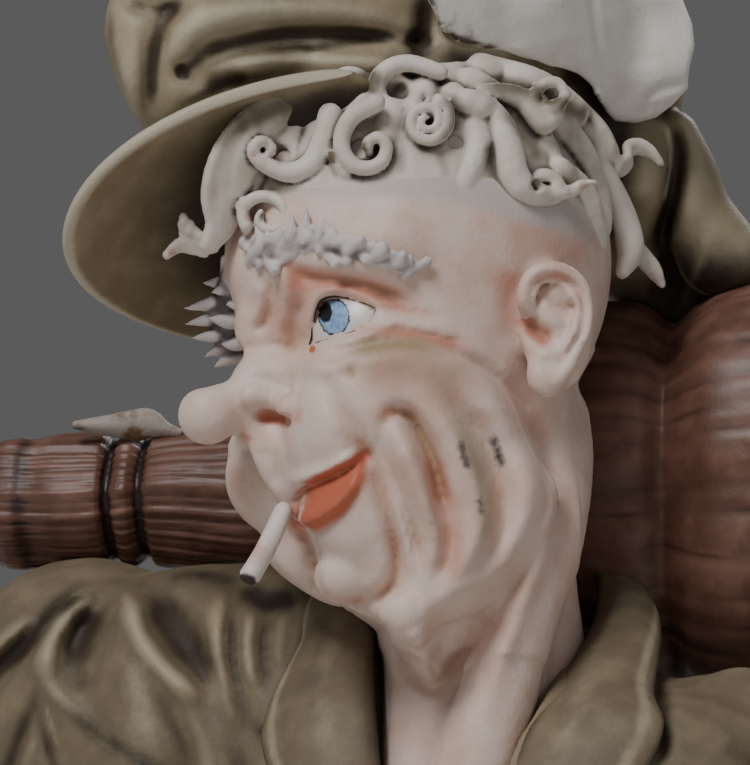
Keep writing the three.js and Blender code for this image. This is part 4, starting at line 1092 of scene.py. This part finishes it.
# lobe that hangs behind the ear
LOBE_ROOT = (35.6, 25.3)
LOBE = (((37.1, 30.6), 4.0), ((39.1, 26.3), 4.2), ((40.6, 21.3), 4.6), ((43.6, 15.8), 5.5))
behind = cap.touch(LOBE_ROOT)[0]
lobe_rows = []
for place, radius in LOBE:
    away = np.subtract(place, LOBE_ROOT) @ np.array([right, up]) + 4.5 * look
    lobe_rows.append((*(behind + away @ cap_frame[:3, :3]), radius))
cap.roll(lobe_rows, 1.2)
CAP_OUTLINE = (
    (-34.2, 110.3), (-34.2, 47.8), (-33.9, 43.2), (-32.4, 37.7), (-30.4, 33.8), (-28.1, 30.8), (-21.9, 10.3),
    (90.6, -14.7), (90.6, 110.3),
)
cap.keep(CAP_OUTLINE, 3.0)
CAP_FOLDS = (
    (1.5, 1.6, -23.6, 48.8, -25, 46.6, -26.5, 44.6, -27.5, 40.8, -28, 36.8, -27.8, 33.3),
    (2.2, -0.9, -32.1, 50.3, -31.4, 44.1, -30.1, 37.8, -29.1, 33.8),
    (0.8, 0.9, -31.9, 47.6, -28.1, 46.8, -24.4, 46.8),
    (2.4, -1.3, -26.1, 40.3, -24.4, 43.6, -20.6, 45.8, -14.4, 46.8, -6.9, 46.6, 0.6, 45.8, 5.6, 45.3),
    (1.2, 1.5, -24.9, 38.6, -22.6, 40.6, -19.1, 42.1, -13.6, 43.2, -6.6, 43.6, -0.4, 43.2, 4.9, 42.2),
    (1.0, -0.7, -22.4, 39.6, -17.9, 41.6, -11.9, 42.3, -5.6, 42.6, 3.1, 41.8),
    (1.3, 2.2, -24.6, 38.6, -23.9, 39.1),
    (0.9, 1.0, -22.9, 37.9, -19.9, 40.3, -16, 41.6, -8.1, 41.7, -0.4, 41.2, 4.6, 40.3),
    (1.2, -0.9, -22.4, 36.3, -19.1, 38.6, -14.1, 40.1, -6.9, 40.6, 0.6, 40.1, 4.4, 39.3),
    (1.3, 1.1, -21.1, 37.1, -18.6, 38.1, -16.4, 38.1),
    (1.1, 1.1, 6.1, 47.8, 6.1, 44.1, 5.6, 40.3),
    (1.0, 1.4, 4.6, 43.3, 5.6, 42.6),
    (0.8, 0.6, 8.1, 40.3, 10.9, 38.8, 15.6, 37.8, 20.6, 37.8),
    (0.5, 0.9, 10.1, 42.1, 10.6, 40.1, 10.9, 38.1),
    (0.5, 0.9, 12.4, 41.6, 12.9, 39.8, 13.1, 37.8),
    (0.5, 1.0, 14.6, 41.3, 15.1, 39.6, 15.5, 37.6),
    (0.5, 1.0, 16.9, 40.8, 17.4, 39.3, 17.9, 37.6),
    (0.5, 0.9, 19.1, 40.3, 19.6, 38.8, 20.4, 37.3),
    (3.0, -1.1, 30.9, 32.8, 33.1, 29.7, 33.9, 25.9, 32.9, 21.3),
    (1.1, 1.9, 36.1, 33.8, 37.6, 30.3, 37.6, 25.9, 36.6, 21.3, 34.6, 17.3),
)
cap.relief(CAP_FOLDS)
cap.crumpled(0.5, 5.5, 7)
cap.wiped()
piece = cap.fired("cap")
note(piece, "hollow", cap.hollows(2.4))
note(piece, "creases", cap.hollows(0.9))
# a stain, and painted shade along the creases of the folds and over the lobe behind the ear
CAP_GRIME_AND_SHADE = (
    (1.3, 1.2, 6.1, 49.1, 5.9, 44.1, 5.6, 39.6),
    (1.2, 1.2, 3.6, 43.3, 5.4, 42.6, 6.1, 41.6),
    (1.8, 1.3, 8.1, 41.6, 11.9, 39.8, 16.9, 38.6, 23.1, 36.8),
    (2.8, 1.1, 28.1, 35.8, 30.6, 30.8, 29.6, 22.8, 28.1, 15.3),
    (1.3, 1.2, 37.4, 32.8, 38.1, 27.8, 37.1, 21.6, 34.6, 15.8),
    (5.0, 1.1, 39.4, 15.1, 45.6, 11.6, 50.6, 10.3),
    (5.0, 1.0, 34.4, 14.1, 39.4, 12.2),
    (2.0, 1.2, 23.1, 40.3, 26.9, 36.6, 29.6, 32.8),
    (1.1, 0.7, -23.6, 48.8, -25.9, 45.6, -27.5, 40.8, -28, 36.8, -27.8, 33.3),
    (1.2, 0.6, -33.6, 47.8, -32.9, 40.3, -30.4, 34.1),
    (0.8, 1.1, -24.9, 38.3, -23.6, 39.1, -21.1, 41.1),
    (0.5, 0.8, -19.1, 42.1, -13.6, 43.2, -6.6, 43.6, -0.4, 43.2, 4.9, 42.2),
    (1.2, 0.8, -21.4, 36.8, -18.6, 38.1, -15.6, 38.3),
    (1.2, 0.8, 0.6, 40.3, 3.1, 40.1, 5.6, 39.6),
    (0.7, 0.7, -26.9, 32.8, -21.9, 35.8, -14.4, 38.3, -5.6, 39.6),
)
note(piece, "grime_and_shade", cap.painted(CAP_GRIME_AND_SHADE))
# painted highlights along the ridges of the folds
CAP_HIGHLIGHTS = (
    (1.4, 0.8, -25.4, 40.8, -23.6, 43.8, -20.1, 45.7, -14.1, 46.7, -5.6, 46.4),
    (0.6, 0.9, -21.4, 39.8, -17.4, 41.6, -11.6, 42.4, -4.4, 42.7),
    (0.7, 0.9, -20.1, 38.1, -16.4, 39.8, -10.6, 40.7, -4.4, 40.8),
    (0.4, 1.2, 36.1, 32.8, 37, 29.7, 37, 26.3, 36.1, 22.2),
    (1.2, 0.5, -32.4, 45.3, -31.1, 39.1, -29.6, 34.6),
)
note(piece, "painted_highlight", cap.painted(CAP_HIGHLIGHTS))
cap_paint = bisque("cap_olive", "#877a62", (
    ("#9c8f77", "mottle", 0.35, 0.8, 0.6, 120),
    # painted highlight: paler where the clay is proud
    ("#a89c85", "hollow", -0.03, -0.2, 0.12, 260),
    # painted shade: brown-black in the hollows
    ("#4a3c29", "hollow", 0.01, 0.22, 0.12, 300),
    # painted highlights on the ridges
    ("#bdb29c", "painted_highlight", 0.1, 1.2, 0.9, 420),
    # stain and painted shade, in strokes
    ("#2f241a", "grime_and_shade", 0.1, 1.35, 0.6, 320),
    # painted shade: near black in the creases
    ("#35291d", "creases", 0.06, 0.3, 0.12, 420),
))
fit(piece, cap_paint, "sweeper_figure")


# Peak of the cap: a curved tongue of the same clay, joined under the fold. Its underside faces the
# viewer, with painted shade that darkens it towards the head, and a painted highlight along its rim.
def sheet(name, grid, thick, edge=0.45):
    """A closed sheet of clay round a grid of points, thinner at its edges."""
    rows, wide = grid.shape[:2]
    slope = np.cross(np.gradient(grid, axis=1), np.gradient(grid, axis=0))
    slope /= np.linalg.norm(slope, axis=2, keepdims=True) + 1e-9
    r = np.minimum(np.arange(rows), np.arange(rows)[::-1])[:, None]
    c = np.minimum(np.arange(wide), np.arange(wide)[::-1])[None, :]
    full = np.minimum(np.minimum(r, c) / 3, 1)
    half = (thick / 2) * np.sqrt(edge**2 + (1 - edge**2) * (1 - (1 - full) ** 2))[:, :, None]
    return skinned(name, (grid + slope * half).reshape(-1, 3), (grid - slope * half).reshape(-1, 3), wide)


PEAK_ROOT, PEAK_LONG, PEAK_WIDE, PEAK_THICK = 20.5, 37.5, 22.5, 1.8
turn = np.linspace(radians(82), radians(-85), 150)[None, :]
out = np.linspace(0, 1, 50)[:, None]
root = np.stack(np.broadcast_arrays(
    PEAK_ROOT * np.cos(turn * 0.8), PEAK_ROOT * np.sin(turn * 0.8), 0 * turn
), axis=-1)
rim = np.stack(np.broadcast_arrays(
    8 + PEAK_LONG * np.cos(turn), -1.5 + PEAK_WIDE * np.sin(np.where(turn > 0, 0.92, 1) * turn),
    0.8 + 1.5 * np.sin(np.maximum(turn, 0)) - 3 * np.cos(turn) ** 2
), axis=-1)
grid = root + out[:, :, None] * (rim - root)
grid[:, :, 2] += 4 * np.cos(turn) * np.sin(pi * out)
piece = sheet("peak", cap.to_world(grid.reshape(-1, 3)).reshape(grid.shape), PEAK_THICK)
reach = np.broadcast_to(out, grid.shape[:2]).ravel()
# how far out from the root, for the painted highlight along the rim
note(piece, "rim", np.tile(reach, 2))
# how near the head, for the painted shade under the peak
note(piece, "root", 1 - np.tile(reach, 2) ** 0.8)
peak_paint = bisque("peak_olive", "#85765c", (
    ("#968970", "mottle", 0.35, 0.8, 0.7, 160),
    # painted shade, darkest by the head
    ("#41331f", "root", 0.08, 0.75, 0.25, 240),
    ("#1d150d", "root", 0.4, 0.9, 0.2, 300),
    # painted highlight along the rim
    ("#b6ac97", "rim", 0.955, 0.99, 0.03, 700),
))
fit(piece, peak_paint, "sweeper_figure")


# Cloth over the cap: a thin white sheet of clay, torn along its edge and left white but for the
# dirt rubbed into its torn edges.
cloth = Clay(cap_frame, (-50, -40, -6), (46, 42, 44), 0.5)
cloth.lump((-1, 0, 21), (43.3, 36.8, 19.3), 1)
cloth.roll(((-34, 14, 14, 9), (-42, 6, 10, 8)), 4)
cloth.lump((-1, 0, 21), (41.4, 34.9, 17.4), 0.6, cut=True)
CLOTH_OUTLINE = (
    (6.6, 65.3), (5.9, 52.8), (6.6, 47.8), (7.6, 45.8), (8.1, 44.1), (9.4, 43.3), (10.4, 42.4), (11.9, 42.3),
    (13.4, 41.6), (15.4, 41.6), (17.1, 41.1), (18.4, 40.6), (20.1, 40.3), (21.6, 39.6), (23.4, 39.3),
    (25.4, 38.6), (26.9, 37.3), (28.1, 35.3), (28.9, 33.8), (29.9, 32.7), (32.6, 32.4), (35.1, 33.1),
    (37.1, 34.6), (39.1, 36.8), (39.1, 39.1), (39.9, 42.1), (39.6, 44.8), (38.6, 47.3), (36.6, 52.8),
    (33.1, 60.3), (23.1, 66.6),
)
cloth.keep(CLOTH_OUTLINE)
CLOTH_FOLDS = (
    (0.5, 0.4, 26.9, 50.3, 27.6, 44.1, 28.4, 39.1, 28.9, 35.3),
    (3.0, -0.5, 23.1, 50.3, 20.6, 45.3, 21.9, 40.3),
    (3.0, -0.6, 34.4, 50.3, 35.9, 42.8, 36.1, 36.6),
)
cloth.relief(CLOTH_FOLDS)
CLOTH_TEARS = (
    (0.5, 0.45, 33.4, 34.1, 34.1, 35.6, 35.4, 36.6, 37.4, 37.2, 39.4, 37.6),
    (0.35, 0.4, 33.1, 33.3, 34.6, 34.8),
    (2.0, 0.5, 15.6, 50.3, 16.6, 45.3, 18.1, 41.8),
    (2.4, -0.6, 23.1, 50.3, 25.6, 44.1, 28.1, 39.1),
    (2.0, 0.5, 30.6, 50.3, 33.1, 44.1, 33.1, 37.8),
    (0.7, -0.7, 27.6, 36.8, 28.4, 35.8, 28.9, 34.8),
)
cloth.relief(CLOTH_TEARS)
piece = cloth.fired("cap_cloth")
CLOTH_GRIME = (
    (1.0, 1.1, 6.6, 49.1, 7.4, 45.3, 8.6, 43.3),
    (0.7, 1.2, 8.1, 44.1, 10.1, 42.8, 13.1, 42.1, 16.1, 41.6),
    (0.9, 0.7, 11.9, 45.3, 12.1, 42.8),
    (0.5, 0.9, 27.4, 36.6, 28.1, 34.8, 28.9, 33.3),
    (0.9, 0.6, 10.1, 47.3, 9.4, 44.1),
)
note(piece, "grime_and_shade", cloth.painted(CLOTH_GRIME))
cloth_paint = bisque("cloth_white", "#dedad4", (
    ("#cfc8be", "mottle", 0.35, 0.85, 0.5, 120),
    ("#4d4031", "grime_and_shade", 0.3, 1.2, 1.4, 420),
))
fit(piece, cloth_paint, "sweeper_figure")


# Jacket: an olive work jacket modelled in one with the shoulders, the right arm raised to the
# besom. Painted olive, with painted highlights on the ridges and painted shade, brown, in the folds.
jacket = Clay(np.eye(4), (-87, -46, -2), (70, 42, 66), 0.68)
for middle, size, soft in (
    ((2, -1, 8), (50, 26, 34), 4),  # chest
    ((-30, 4, 30.5), (31, 19, 23), 4),  # right shoulder
    ((-60, 3, 29.5), (24, 18, 25), 4),  # raised right arm
    ((-61, 1, 4), (23, 22, 30), 4),  # right sleeve
    ((22, 6, 20), (28, 18, 18), 4),  # left shoulder
    ((44, 2, 2), (23, 21, 25), 4),  # left sleeve
    ((-6, 13, 20), (34, 15, 28), 4),  # back
    ((-44, -7, 26), (26, 13, 24), 6),  # armpit
    ((-42, 2, 43), (12, 11, 10), 4),  # yoke
):
    jacket.lump(middle, size, soft)
jacket.roll(((32, 9, 35, 5.5), (48, 8, 28, 5.5), (60, 6, 19, 6)), 4)  # ridge of the left shoulder
jacket.roll(((6, -28, 1, 2), (4, -19, 28, 10.5), (0, -4, 58, 16)), 1.5, cut=True)  # opening at the neck
ARMPIT_CREASE = (-39.9, -38.6, -36.8, -42.1, -32.2, -45.7, -28.1, -48.2, -23.1, -53.7, -19.9, -60.4)
SLEEVE_CREASE = (-50.1, -63.7, -47.9, -55.4, -45.6, -47.8, -43.6, -42.4, -42.1, -38.2)
LAPEL_CREASE = (-17.4, -27.2, -18, -33.4, -16.9, -39.7, -14.9, -46.2)
JACKET_FOLDS = (
    (2.5, 1.0, -29.6, -24.2, -26.9, -27.9, -23.9, -32.2, -21.1, -36.7, -17.6, -41.7),
    (3.2, 1.3, -27.1, -27.4, -24.4, -31.4, -22.1, -34.9),
    (2.3, 0.9, -32.6, -25.4, -35.4, -28.9, -36.9, -32.7, -36.9, -36.4, -35.1, -40.2),
    (2.8, 1.1, -35.1, -28.7, -36.5, -32.2, -36.9, -34.9),
    (1.7, -2.0, -31.1, -25.9, -30.2, -29.3, -29, -32.3, -26.6, -35.3, -24.2, -37.7, -20.9, -39.7),
    (1.6, -2.0, -40.9, -36.9, -41.2, -34.1, -40.4, -31.4, -37.9, -28.4, -34.4, -25.9),
    (1.4, -1.8, -41.5, -37.1, -38.5, -40.1, -35, -43.6, -30.2, -47.4, -25.6, -52.4, -22.4, -59.2),
    (1.6, 1.7, *ARMPIT_CREASE),
    (3.0, -0.8, -32.4, -31.7, -30.6, -37.2, -29.4, -42.2, -28.1, -48.2, -27.4, -55.9),
    (1.5, 2.0, -54.9, -44.9, -51.1, -40.4, -47.4, -36.2, -43.2, -32.3, -40.4, -28.7, -36.9, -26.2),
    (1.2, -1.0, -54.4, -41.2, -47.4, -33.2, -43.2, -29.9, -39.1, -27.6, -36.4, -25.7),
    (0.8, 1.0, -42.1, -40.2, -41.4, -44.1, -40.1, -48.2, -38.4, -54.9, -36.1, -62.7),
    (1.1, 1.4, *SLEEVE_CREASE),
    (0.9, -0.9, -46.9, -57.9, -44.4, -47.8, -42.6, -43.4, -41.6, -39.7),
    (1.3, -1.5, -19.1, -26.7, -19.9, -32.2, -18.6, -38.4, -16.6, -45.3),
    (1.2, 1.1, *LAPEL_CREASE),
    (1.0, -1.0, -15.4, -27.9, -16, -33.4, -15.1, -38.7),
    (1.1, 0.9, -13.5, -28.2, -14.1, -33.4, -13.4, -38.7),
    (0.9, -0.8, -11.4, -27.7, -12.2, -32.2, -12.6, -36.2),
    (1.6, 1.2, -16.9, -25.7, -14.1, -27.4, -10.4, -26.9),
    (1.4, -0.9, -24.9, -39.7, -22.4, -43.4, -21.1, -48.2, -20.4, -56.7),
    (1.2, 0.9, -26.9, -40.4, -24.6, -44.2, -23.6, -48.2, -23.1, -57.9),
    (1.0, 1.0, -18.6, -40.4, -17.4, -44.2, -16.9, -48.2, -16.9, -56.7),
    (0.7, 1.0, 35.5, -34.7, 36, -39.7, 36.1, -48.2),
)
jacket.relief(JACKET_FOLDS)
jacket.crumpled(0.7, 4.5, 9)
jacket.wiped()
# seat of the figure: cut flat
height = jacket.low[2] + jacket.grain * np.arange(jacket.away.shape[2])
jacket.away = np.maximum(jacket.away, -height.astype(np.float32))
piece = jacket.fired("jacket")
note(piece, "hollow", jacket.hollows(2.8))
note(piece, "creases", jacket.hollows(1.2))
# painted shade along the creases of the folds and by the lapels
JACKET_GRIME_AND_SHADE = (
    (2.8, 0.9, -28.1, -26.4, -25.1, -30.4, -22.4, -34.2, -20.4, -37.7),
    (2.4, 0.8, -33.9, -27.2, -36.1, -30.9, -37.1, -34.2, -36.4, -36.7),
    (1.3, 1.2, -47.4, -36.2, -43.2, -32.3, -40.4, -28.7, -35.6, -25.2),
    (1.2, 1.0, *ARMPIT_CREASE),
    (1.0, 0.8, *SLEEVE_CREASE),
    (0.6, 0.7, -42.1, -40.4, -41.4, -44.1, -40.1, -48.2, -38.4, -54.9),
    (1.0, 0.4, *LAPEL_CREASE),
    (1.0, 0.5, -13.5, -28.2, -14.1, -33.4, -13.4, -39.7),
    (1.6, 1.3, -16.6, -25.7, -13.6, -27.2, -9.4, -26.7),
    (0.9, 0.9, -6.4, -27.2, -8.6, -31.4, -10.9, -36.9, -13.1, -42.4),
    (1.0, 1.2, -14.9, -42.9, -12.9, -44.7, -11.1, -48.2),
    (1.4, 0.9, -26.9, -23.4, -21.9, -23.9, -16.9, -25.2),
    (1.2, 0.7, -33.1, -25.9, -31.4, -24.7, -28.1, -24.4),
    (1.2, 1.0, 35.1, -32.2, 35.9, -39.7, 36.1, -48.2),
    (2.0, 0.7, 43.1, -44.7, 46.1, -46.7, 49.4, -49.2),
)
note(piece, "grime_and_shade", jacket.painted(JACKET_GRIME_AND_SHADE))
# painted highlights along the ridges of the folds
JACKET_HIGHLIGHTS = (
    (0.8, 1.0, -31.1, -26.2, -30.2, -29.3, -29, -32.3, -26.6, -35.3, -24.2, -37.7, -21.2, -39.4),
    (0.8, 0.9, -40.9, -36.7, -41.2, -34.1, -40.4, -31.4, -37.9, -28.6, -34.6, -26.4),
    (0.7, 1.0, -41.5, -37.2, -38.5, -40.1, -35, -43.6, -30.6, -47.2),
    (2.0, 0.6, -30.6, -33.4, -29.6, -39.4, -28.4, -47.8),
    (0.7, 0.7, -19.1, -28.4, -19.8, -32.8, -18.6, -38.4),
    (0.7, 0.7, -15.4, -29.1, -15.9, -33.4, -15.4, -37.2),
    (0.8, 0.6, -43.1, -32.2, -39.1, -27.7, -35.6, -25.7),
    (0.4, 0.6, -41.4, -39.7, -40.6, -42.2, -39.6, -45.9),
)
note(piece, "painted_highlight", jacket.painted(JACKET_HIGHLIGHTS))
jacket_paint = bisque("jacket_olive", "#6f6250", (
    ("#80735d", "mottle", 0.35, 0.8, 0.7, 110),
    # painted highlight: paler where the clay is proud
    ("#94876f", "hollow", -0.03, -0.25, 0.12, 260),
    # painted shade: brown in the hollows
    ("#43362a", "hollow", 0.03, 0.28, 0.12, 280),
    # painted highlights on the ridges
    ("#a99c85", "painted_highlight", 0.1, 1.2, 0.9, 380),
    # painted shade, in strokes
    ("#2e2419", "grime_and_shade", 0.05, 1.3, 0.6, 300),
    # painted shade: near black in the creases
    ("#2f261c", "creases", 0.1, 0.4, 0.12, 420),
), rough=0.6)
fit(piece, jacket_paint, "sweeper_figure")


# Collar and lapels: one thick band of clay laid round the neck and turned out over the jacket.
COLLAR_IN = (
    (4, -27, 3), (-4, -18, 29), (-7, -14, 37), (-10, -9, 43), (-14, 0, 50), (-6, 14, 56), (4, 16, 56),
    (12.5, 9, 47), (15, -7, 37), (15, -18, 29), (8, -27, 3),
)
COLLAR_OUT = (
    (-2, -29, 3), (-17.5, -20, 27), (-20.5, -16, 34), (-20, -9, 42), (-20, -3, 49), (-11, 19, 50),
    (4, 24, 50), (18, 12, 46), (27, -6, 37), (31, -15, 29), (14, -28, 3),
)
COLLAR_THICK, COLLAR_SWELL = 3, 2.2
inner, outer = smooth_rows(COLLAR_IN, 12), smooth_rows(COLLAR_OUT, 12)
share = np.linspace(0, 1, 26)[:, None, None]
grid = inner[None] + share * (outer - inner)[None]
lift = np.cross(np.gradient(grid, axis=1), np.gradient(grid, axis=0))
lift /= np.linalg.norm(lift, axis=2, keepdims=True) + 1e-9
grid = grid + lift * COLLAR_SWELL * np.sin(pi * share)
piece = sheet("collar", grid, COLLAR_THICK, 0.7)
reach = np.tile(np.broadcast_to(share[:, :, 0], grid.shape[:2]).ravel(), 2)


def hump(at, middle, wide):
    """A smooth hump, 1 at its middle and fading out on both sides."""
    return np.exp(-((at - middle) / wide) ** 2)


# painted shade along the inner edge by the neck and, fainter, along the outer edge
note(piece, "grime_and_shade", np.clip(1 - reach / 0.2, 0, 1) + 0.35 * np.clip((reach - 0.9) / 0.1, 0, 1))
# painted highlights in two bands along the collar
note(piece, "painted_highlight", 0.8 * hump(reach, 0.86, 0.06) + 0.4 * hump(reach, 0.4, 0.12))
fit(piece, jacket_paint, "sweeper_figure")


# Besom: a bundle of brushwood bound at the handle end, made on its own, glazed a shiny red-brown
# over combed lines and stuck to the shoulders. Turned here as a profile, then combed.
BESOM_MIDDLE, BESOM_SIDES = (5, 33, 63.5), 180
BESOM_TURN, BESOM_DIP = radians(20), radians(1)
BESOM_PROFILE = (  # place along the bundle, radius
    (-86, 0.01), (-85.8, 4.5), (-85.3, 7.4), (-84, 8.6), (-82, 8.9), (-80.5, 8.6), (-79, 8.7), (-76, 9.1),
    (-71, 9.1), (-69.8, 8.7), (-69.2, 7.9), (-68.6, 7.8), (-67.9, 8.5), (-67.2, 8.9), (-66.2, 8.9),
    (-65.4, 8.4), (-64.8, 7.8), (-64.2, 7.9), (-63.4, 8.6), (-62, 9.4), (-50, 10.6), (-32, 12.4), (-16, 17),
    (-8, 22.6), (-4, 24.4), (0, 24.6), (3, 23.8), (5.5, 21.8), (7, 22.2), (10, 25), (15, 27.3), (30, 28.9),
    (40, 29.2), (44, 28), (45.6, 24), (46, 0.01),
)
BESOM_RINGS = ((-68.9, 0.7, 1.0), (-64.5, 0.7, 1.0), (-80.5, 1.2, 0.5))  # place, half width, depth
line = smooth_rows(BESOM_PROFILE, 12)
line[:, 1] = np.maximum(line[:, 1], 0.01)
line[:, 0] = np.clip(line[:, 0], -86, 46)
place, radius = np.repeat(line, BESOM_SIDES, axis=0).T
angle = np.tile(np.arange(BESOM_SIDES) * tau / BESOM_SIDES, len(line))
angle = np.where(angle > pi, angle - tau, angle)
chance = np.random.default_rng(11)


def wavy(at, knots, size):
    """A smooth random line along at, from the same seeded chance."""
    heights = chance.uniform(-1, 1, knots)
    at = (at - at.min()) / (at.max() - at.min() + 1e-9) * (knots - 3)
    base = at.astype(int)
    t = at - base
    ease = t * t * (3 - 2 * t)
    return size * (heights[base] * (1 - ease) + heights[base + 1] * ease)


combed = np.zeros(len(place))
for straws, deep in ((34, 0.5), (75, 0.3), (140, 0.07)):
    offsets = chance.uniform(0.6, 1.4, straws)
    bounds = np.concatenate([[0], np.cumsum(offsets)]) / offsets.sum()
    around = (angle / tau + 0.5 + wavy(place, 14, 0.012)) % 1
    index = np.clip(np.searchsorted(bounds, around, side="right") - 1, 0, straws - 1)
    within = (around - bounds[index]) / (bounds[index + 1] - bounds[index])
    height = chance.uniform(0.4, 1, straws)[index]
    combed += deep * (height * np.sin(pi * within) ** 0.6 - 0.8)
groove = sum(deep * hump(place, middle, wide) for middle, wide, deep in BESOM_RINGS)
combed *= np.clip(radius / 8, 0, 1) * (1 - 0.8 * np.clip(groove, 0, 1))
dips = 0.8 * np.sin(angle * 3 + 1) * hump(place, -2, 9) + 0.35 * np.sin(5 * angle + place / 9)
sagged = 0.15 * np.clip((place + 4) / 12, 0, 1) + 0.13 * hump(place, 6, 5)  # fuller below
lower = np.clip(-np.sin(angle), 0, 1) * sagged
dressed = radius * (1 + lower) + combed + dips * np.clip(radius / 8, 0, 1)
dressed = np.where(radius < 0.1, radius, dressed)
cut_end = np.where(place < -84.5, 0.5 * np.sin(angle * 17) * np.clip(radius / 6, 0, 1), 0)
spots = np.array([place + cut_end, dressed * np.cos(angle), dressed * np.sin(angle)]).T
axis = (cos(BESOM_TURN) * cos(BESOM_DIP), sin(BESOM_TURN) * cos(BESOM_DIP), sin(BESOM_DIP))
side_way = (-sin(BESOM_TURN), cos(BESOM_TURN), 0)
spots = spots @ np.array([axis, side_way, np.cross(axis, side_way)]) + BESOM_MIDDLE
piece = ringed("besom_straws", spots, BESOM_SIDES)
# painted shade in the combed grooves between the straws and in the binding rings
note(piece, "groove", np.clip(-combed / 0.9 + groove, 0, 1))
besom_glaze = bisque("besom_glaze", "#5f4034", (
    ("#7a574a", "mottle", 0.3, 0.75, 0.9, 140),
    # painted shade: near black in the grooves
    ("#1d0e09", "groove", 0.25, 0.9, 0.5, 260),
), rough=0.48, depth=0.12, glaze=(0.12, 0.3))
fit(piece, besom_glaze, "besom", holder="brown_glaze")


# Cigarette: a small roll of white clay in the corner of the lips, its tip touched with black.
CIGARETTE_LONG, CIGARETTE_RADIUS, CIGARETTE_TILT = 11, 1.25, radians(-31)
CIGARETTE_MIDDLE = (23.2, 2, -33.6)
bpy.ops.object.select_all(action="DESELECT")
bpy.ops.mesh.primitive_cylinder_add(vertices=48, radius=MM * CIGARETTE_RADIUS, depth=MM * CIGARETTE_LONG)
piece = bpy.context.object
piece.name = piece.data.name = "cigarette_roll"
bpy.ops.object.mode_set(mode="EDIT")
bpy.ops.mesh.select_all(action="SELECT")
bpy.ops.mesh.subdivide(number_cuts=14)
bpy.ops.object.mode_set(mode="OBJECT")
spots = np.array([v.co for v in piece.data.vertices]) * 1000
down = spots[:, 2] / CIGARETTE_LONG
uneven = 0.03 * np.sin(7 * down + 3 * np.arctan2(spots[:, 1], spots[:, 0]))
spots[:, :2] *= (0.98 - 0.14 * down + uneven)[:, None]
near_end = np.clip((np.abs(down) - 0.44) / 0.06, 0, 1)
spots[:, :2] *= (1 - 0.3 * near_end**2)[:, None]
spots[:, 0] += 0.9 * (down**2 - 0.1)
axis = (sin(CIGARETTE_TILT), 0, cos(CIGARETTE_TILT))
ways = np.array([np.cross((0, 1, 0), axis), (0, 1, 0), axis])
spots = head.to_world(spots @ ways + CIGARETTE_MIDDLE)
piece.data.vertices.foreach_set("co", (spots * MM).ravel())
bpy.ops.object.shade_smooth()
cigarette_paint = bisque("cigarette_clay", "#ddd2ca", (
    ("#c7aa9c", "mottle", 0.4, 0.8, 0.6, 300),
    ("#3a3330", "tip", 0.2, 0.8, 1.0, 900),
))
note(piece, "tip", np.clip((-down - 0.455) / 0.04, 0, 1))
fit(piece, cigarette_paint, "cigarette", holder="white_bisque")


# Leaf: a sliver of unglazed clay pinched to a point and laid on the besom, blotched with brown.
LEAF_TOP = (
    (-37.8, -5.2), (-35.4, -4.6), (-32.9, -4.1), (-30.6, -3.6), (-28.6, -3.3), (-27.1, -3.9), (-25.9, -5.2),
    (-24.1, -6.2),
)
LEAF_FOOT = (
    (-37.8, -5.4), (-35.6, -6.1), (-33.1, -6.6), (-31.1, -6.9), (-29.6, -7.2), (-28.1, -6.8), (-26.4, -6.6),
    (-24.1, -6.7),
)
LEAF_BACK = 32.4  # how far behind the drawing plane
top, foot = along(LEAF_TOP, SPOTS), along(LEAF_FOOT, SPOTS)
share = np.linspace(0, 1, 14)[:, None, None]
seen = top + share * (foot - top)
depth = LEAF_BACK - 0.9 * np.sin(pi * share) + 0.6 * np.linspace(0, 1, SPOTS)[None, :, None]
rays = look * VIEW_DISTANCE + seen[..., :1] * right + seen[..., 1:] * up
grid = eye + rays * (1 + depth / VIEW_DISTANCE)
piece = sheet("leaf_sliver", grid, 0.9, 0.5)
leaf_paint = bisque("leaf_clay", "#a39890", (
    ("#6b5038", "mottle", 0.5, 0.75, 0.6, 420),
))
fit(piece, leaf_paint, "leaf", holder="leaf_bisque")


# The table it stands on and the light: a plain pale floor, one large soft light above and to the
# left of the viewer, and weaker ones that open the shadows.
bpy.ops.object.select_all(action="DESELECT")
bpy.ops.mesh.primitive_circle_add(vertices=96, radius=3, fill_type="NGON", location=(0, 0, -0.0002))
floor = bpy.context.object
floor.name = "floor"
floor_paint, _ = new_paint("pale_floor", {"Base Color": (0.72, 0.71, 0.69, 1), "Roughness": 0.8})
floor.data.materials.append(floor_paint)
middle = Vector((0, 0, 0.075))
for name, across, out, rise, size, power in (
    ("key_light", -0.35, 0.55, 0.75, 0.42, 7.0),
    ("fill_light", 0.8, 0.6, 0.3, 0.6, 0.5),
    ("rim_light", 0.45, -0.7, 0.55, 0.4, 3),
):
    lamp = bpy.data.lights.new(name, "AREA")
    lamp.shape, lamp.size, lamp.energy = "DISK", size, power
    spot = bpy.data.objects.new(name, lamp)
    spot.location = middle + Vector(right) * across - Vector(look) * out + Vector((0, 0, rise))
    spot.rotation_euler = (middle - spot.location).to_track_quat("-Z", "Y").to_euler()
    bpy.context.collection.objects.link(spot)
studio = bpy.data.worlds.new("studio")
bpy.context.scene.world = studio
studio.use_nodes = True
studio.node_tree.nodes["Background"].inputs["Color"].default_value = (0.78, 0.78, 0.78, 1)
studio.node_tree.nodes["Background"].inputs["Strength"].default_value = 0.14
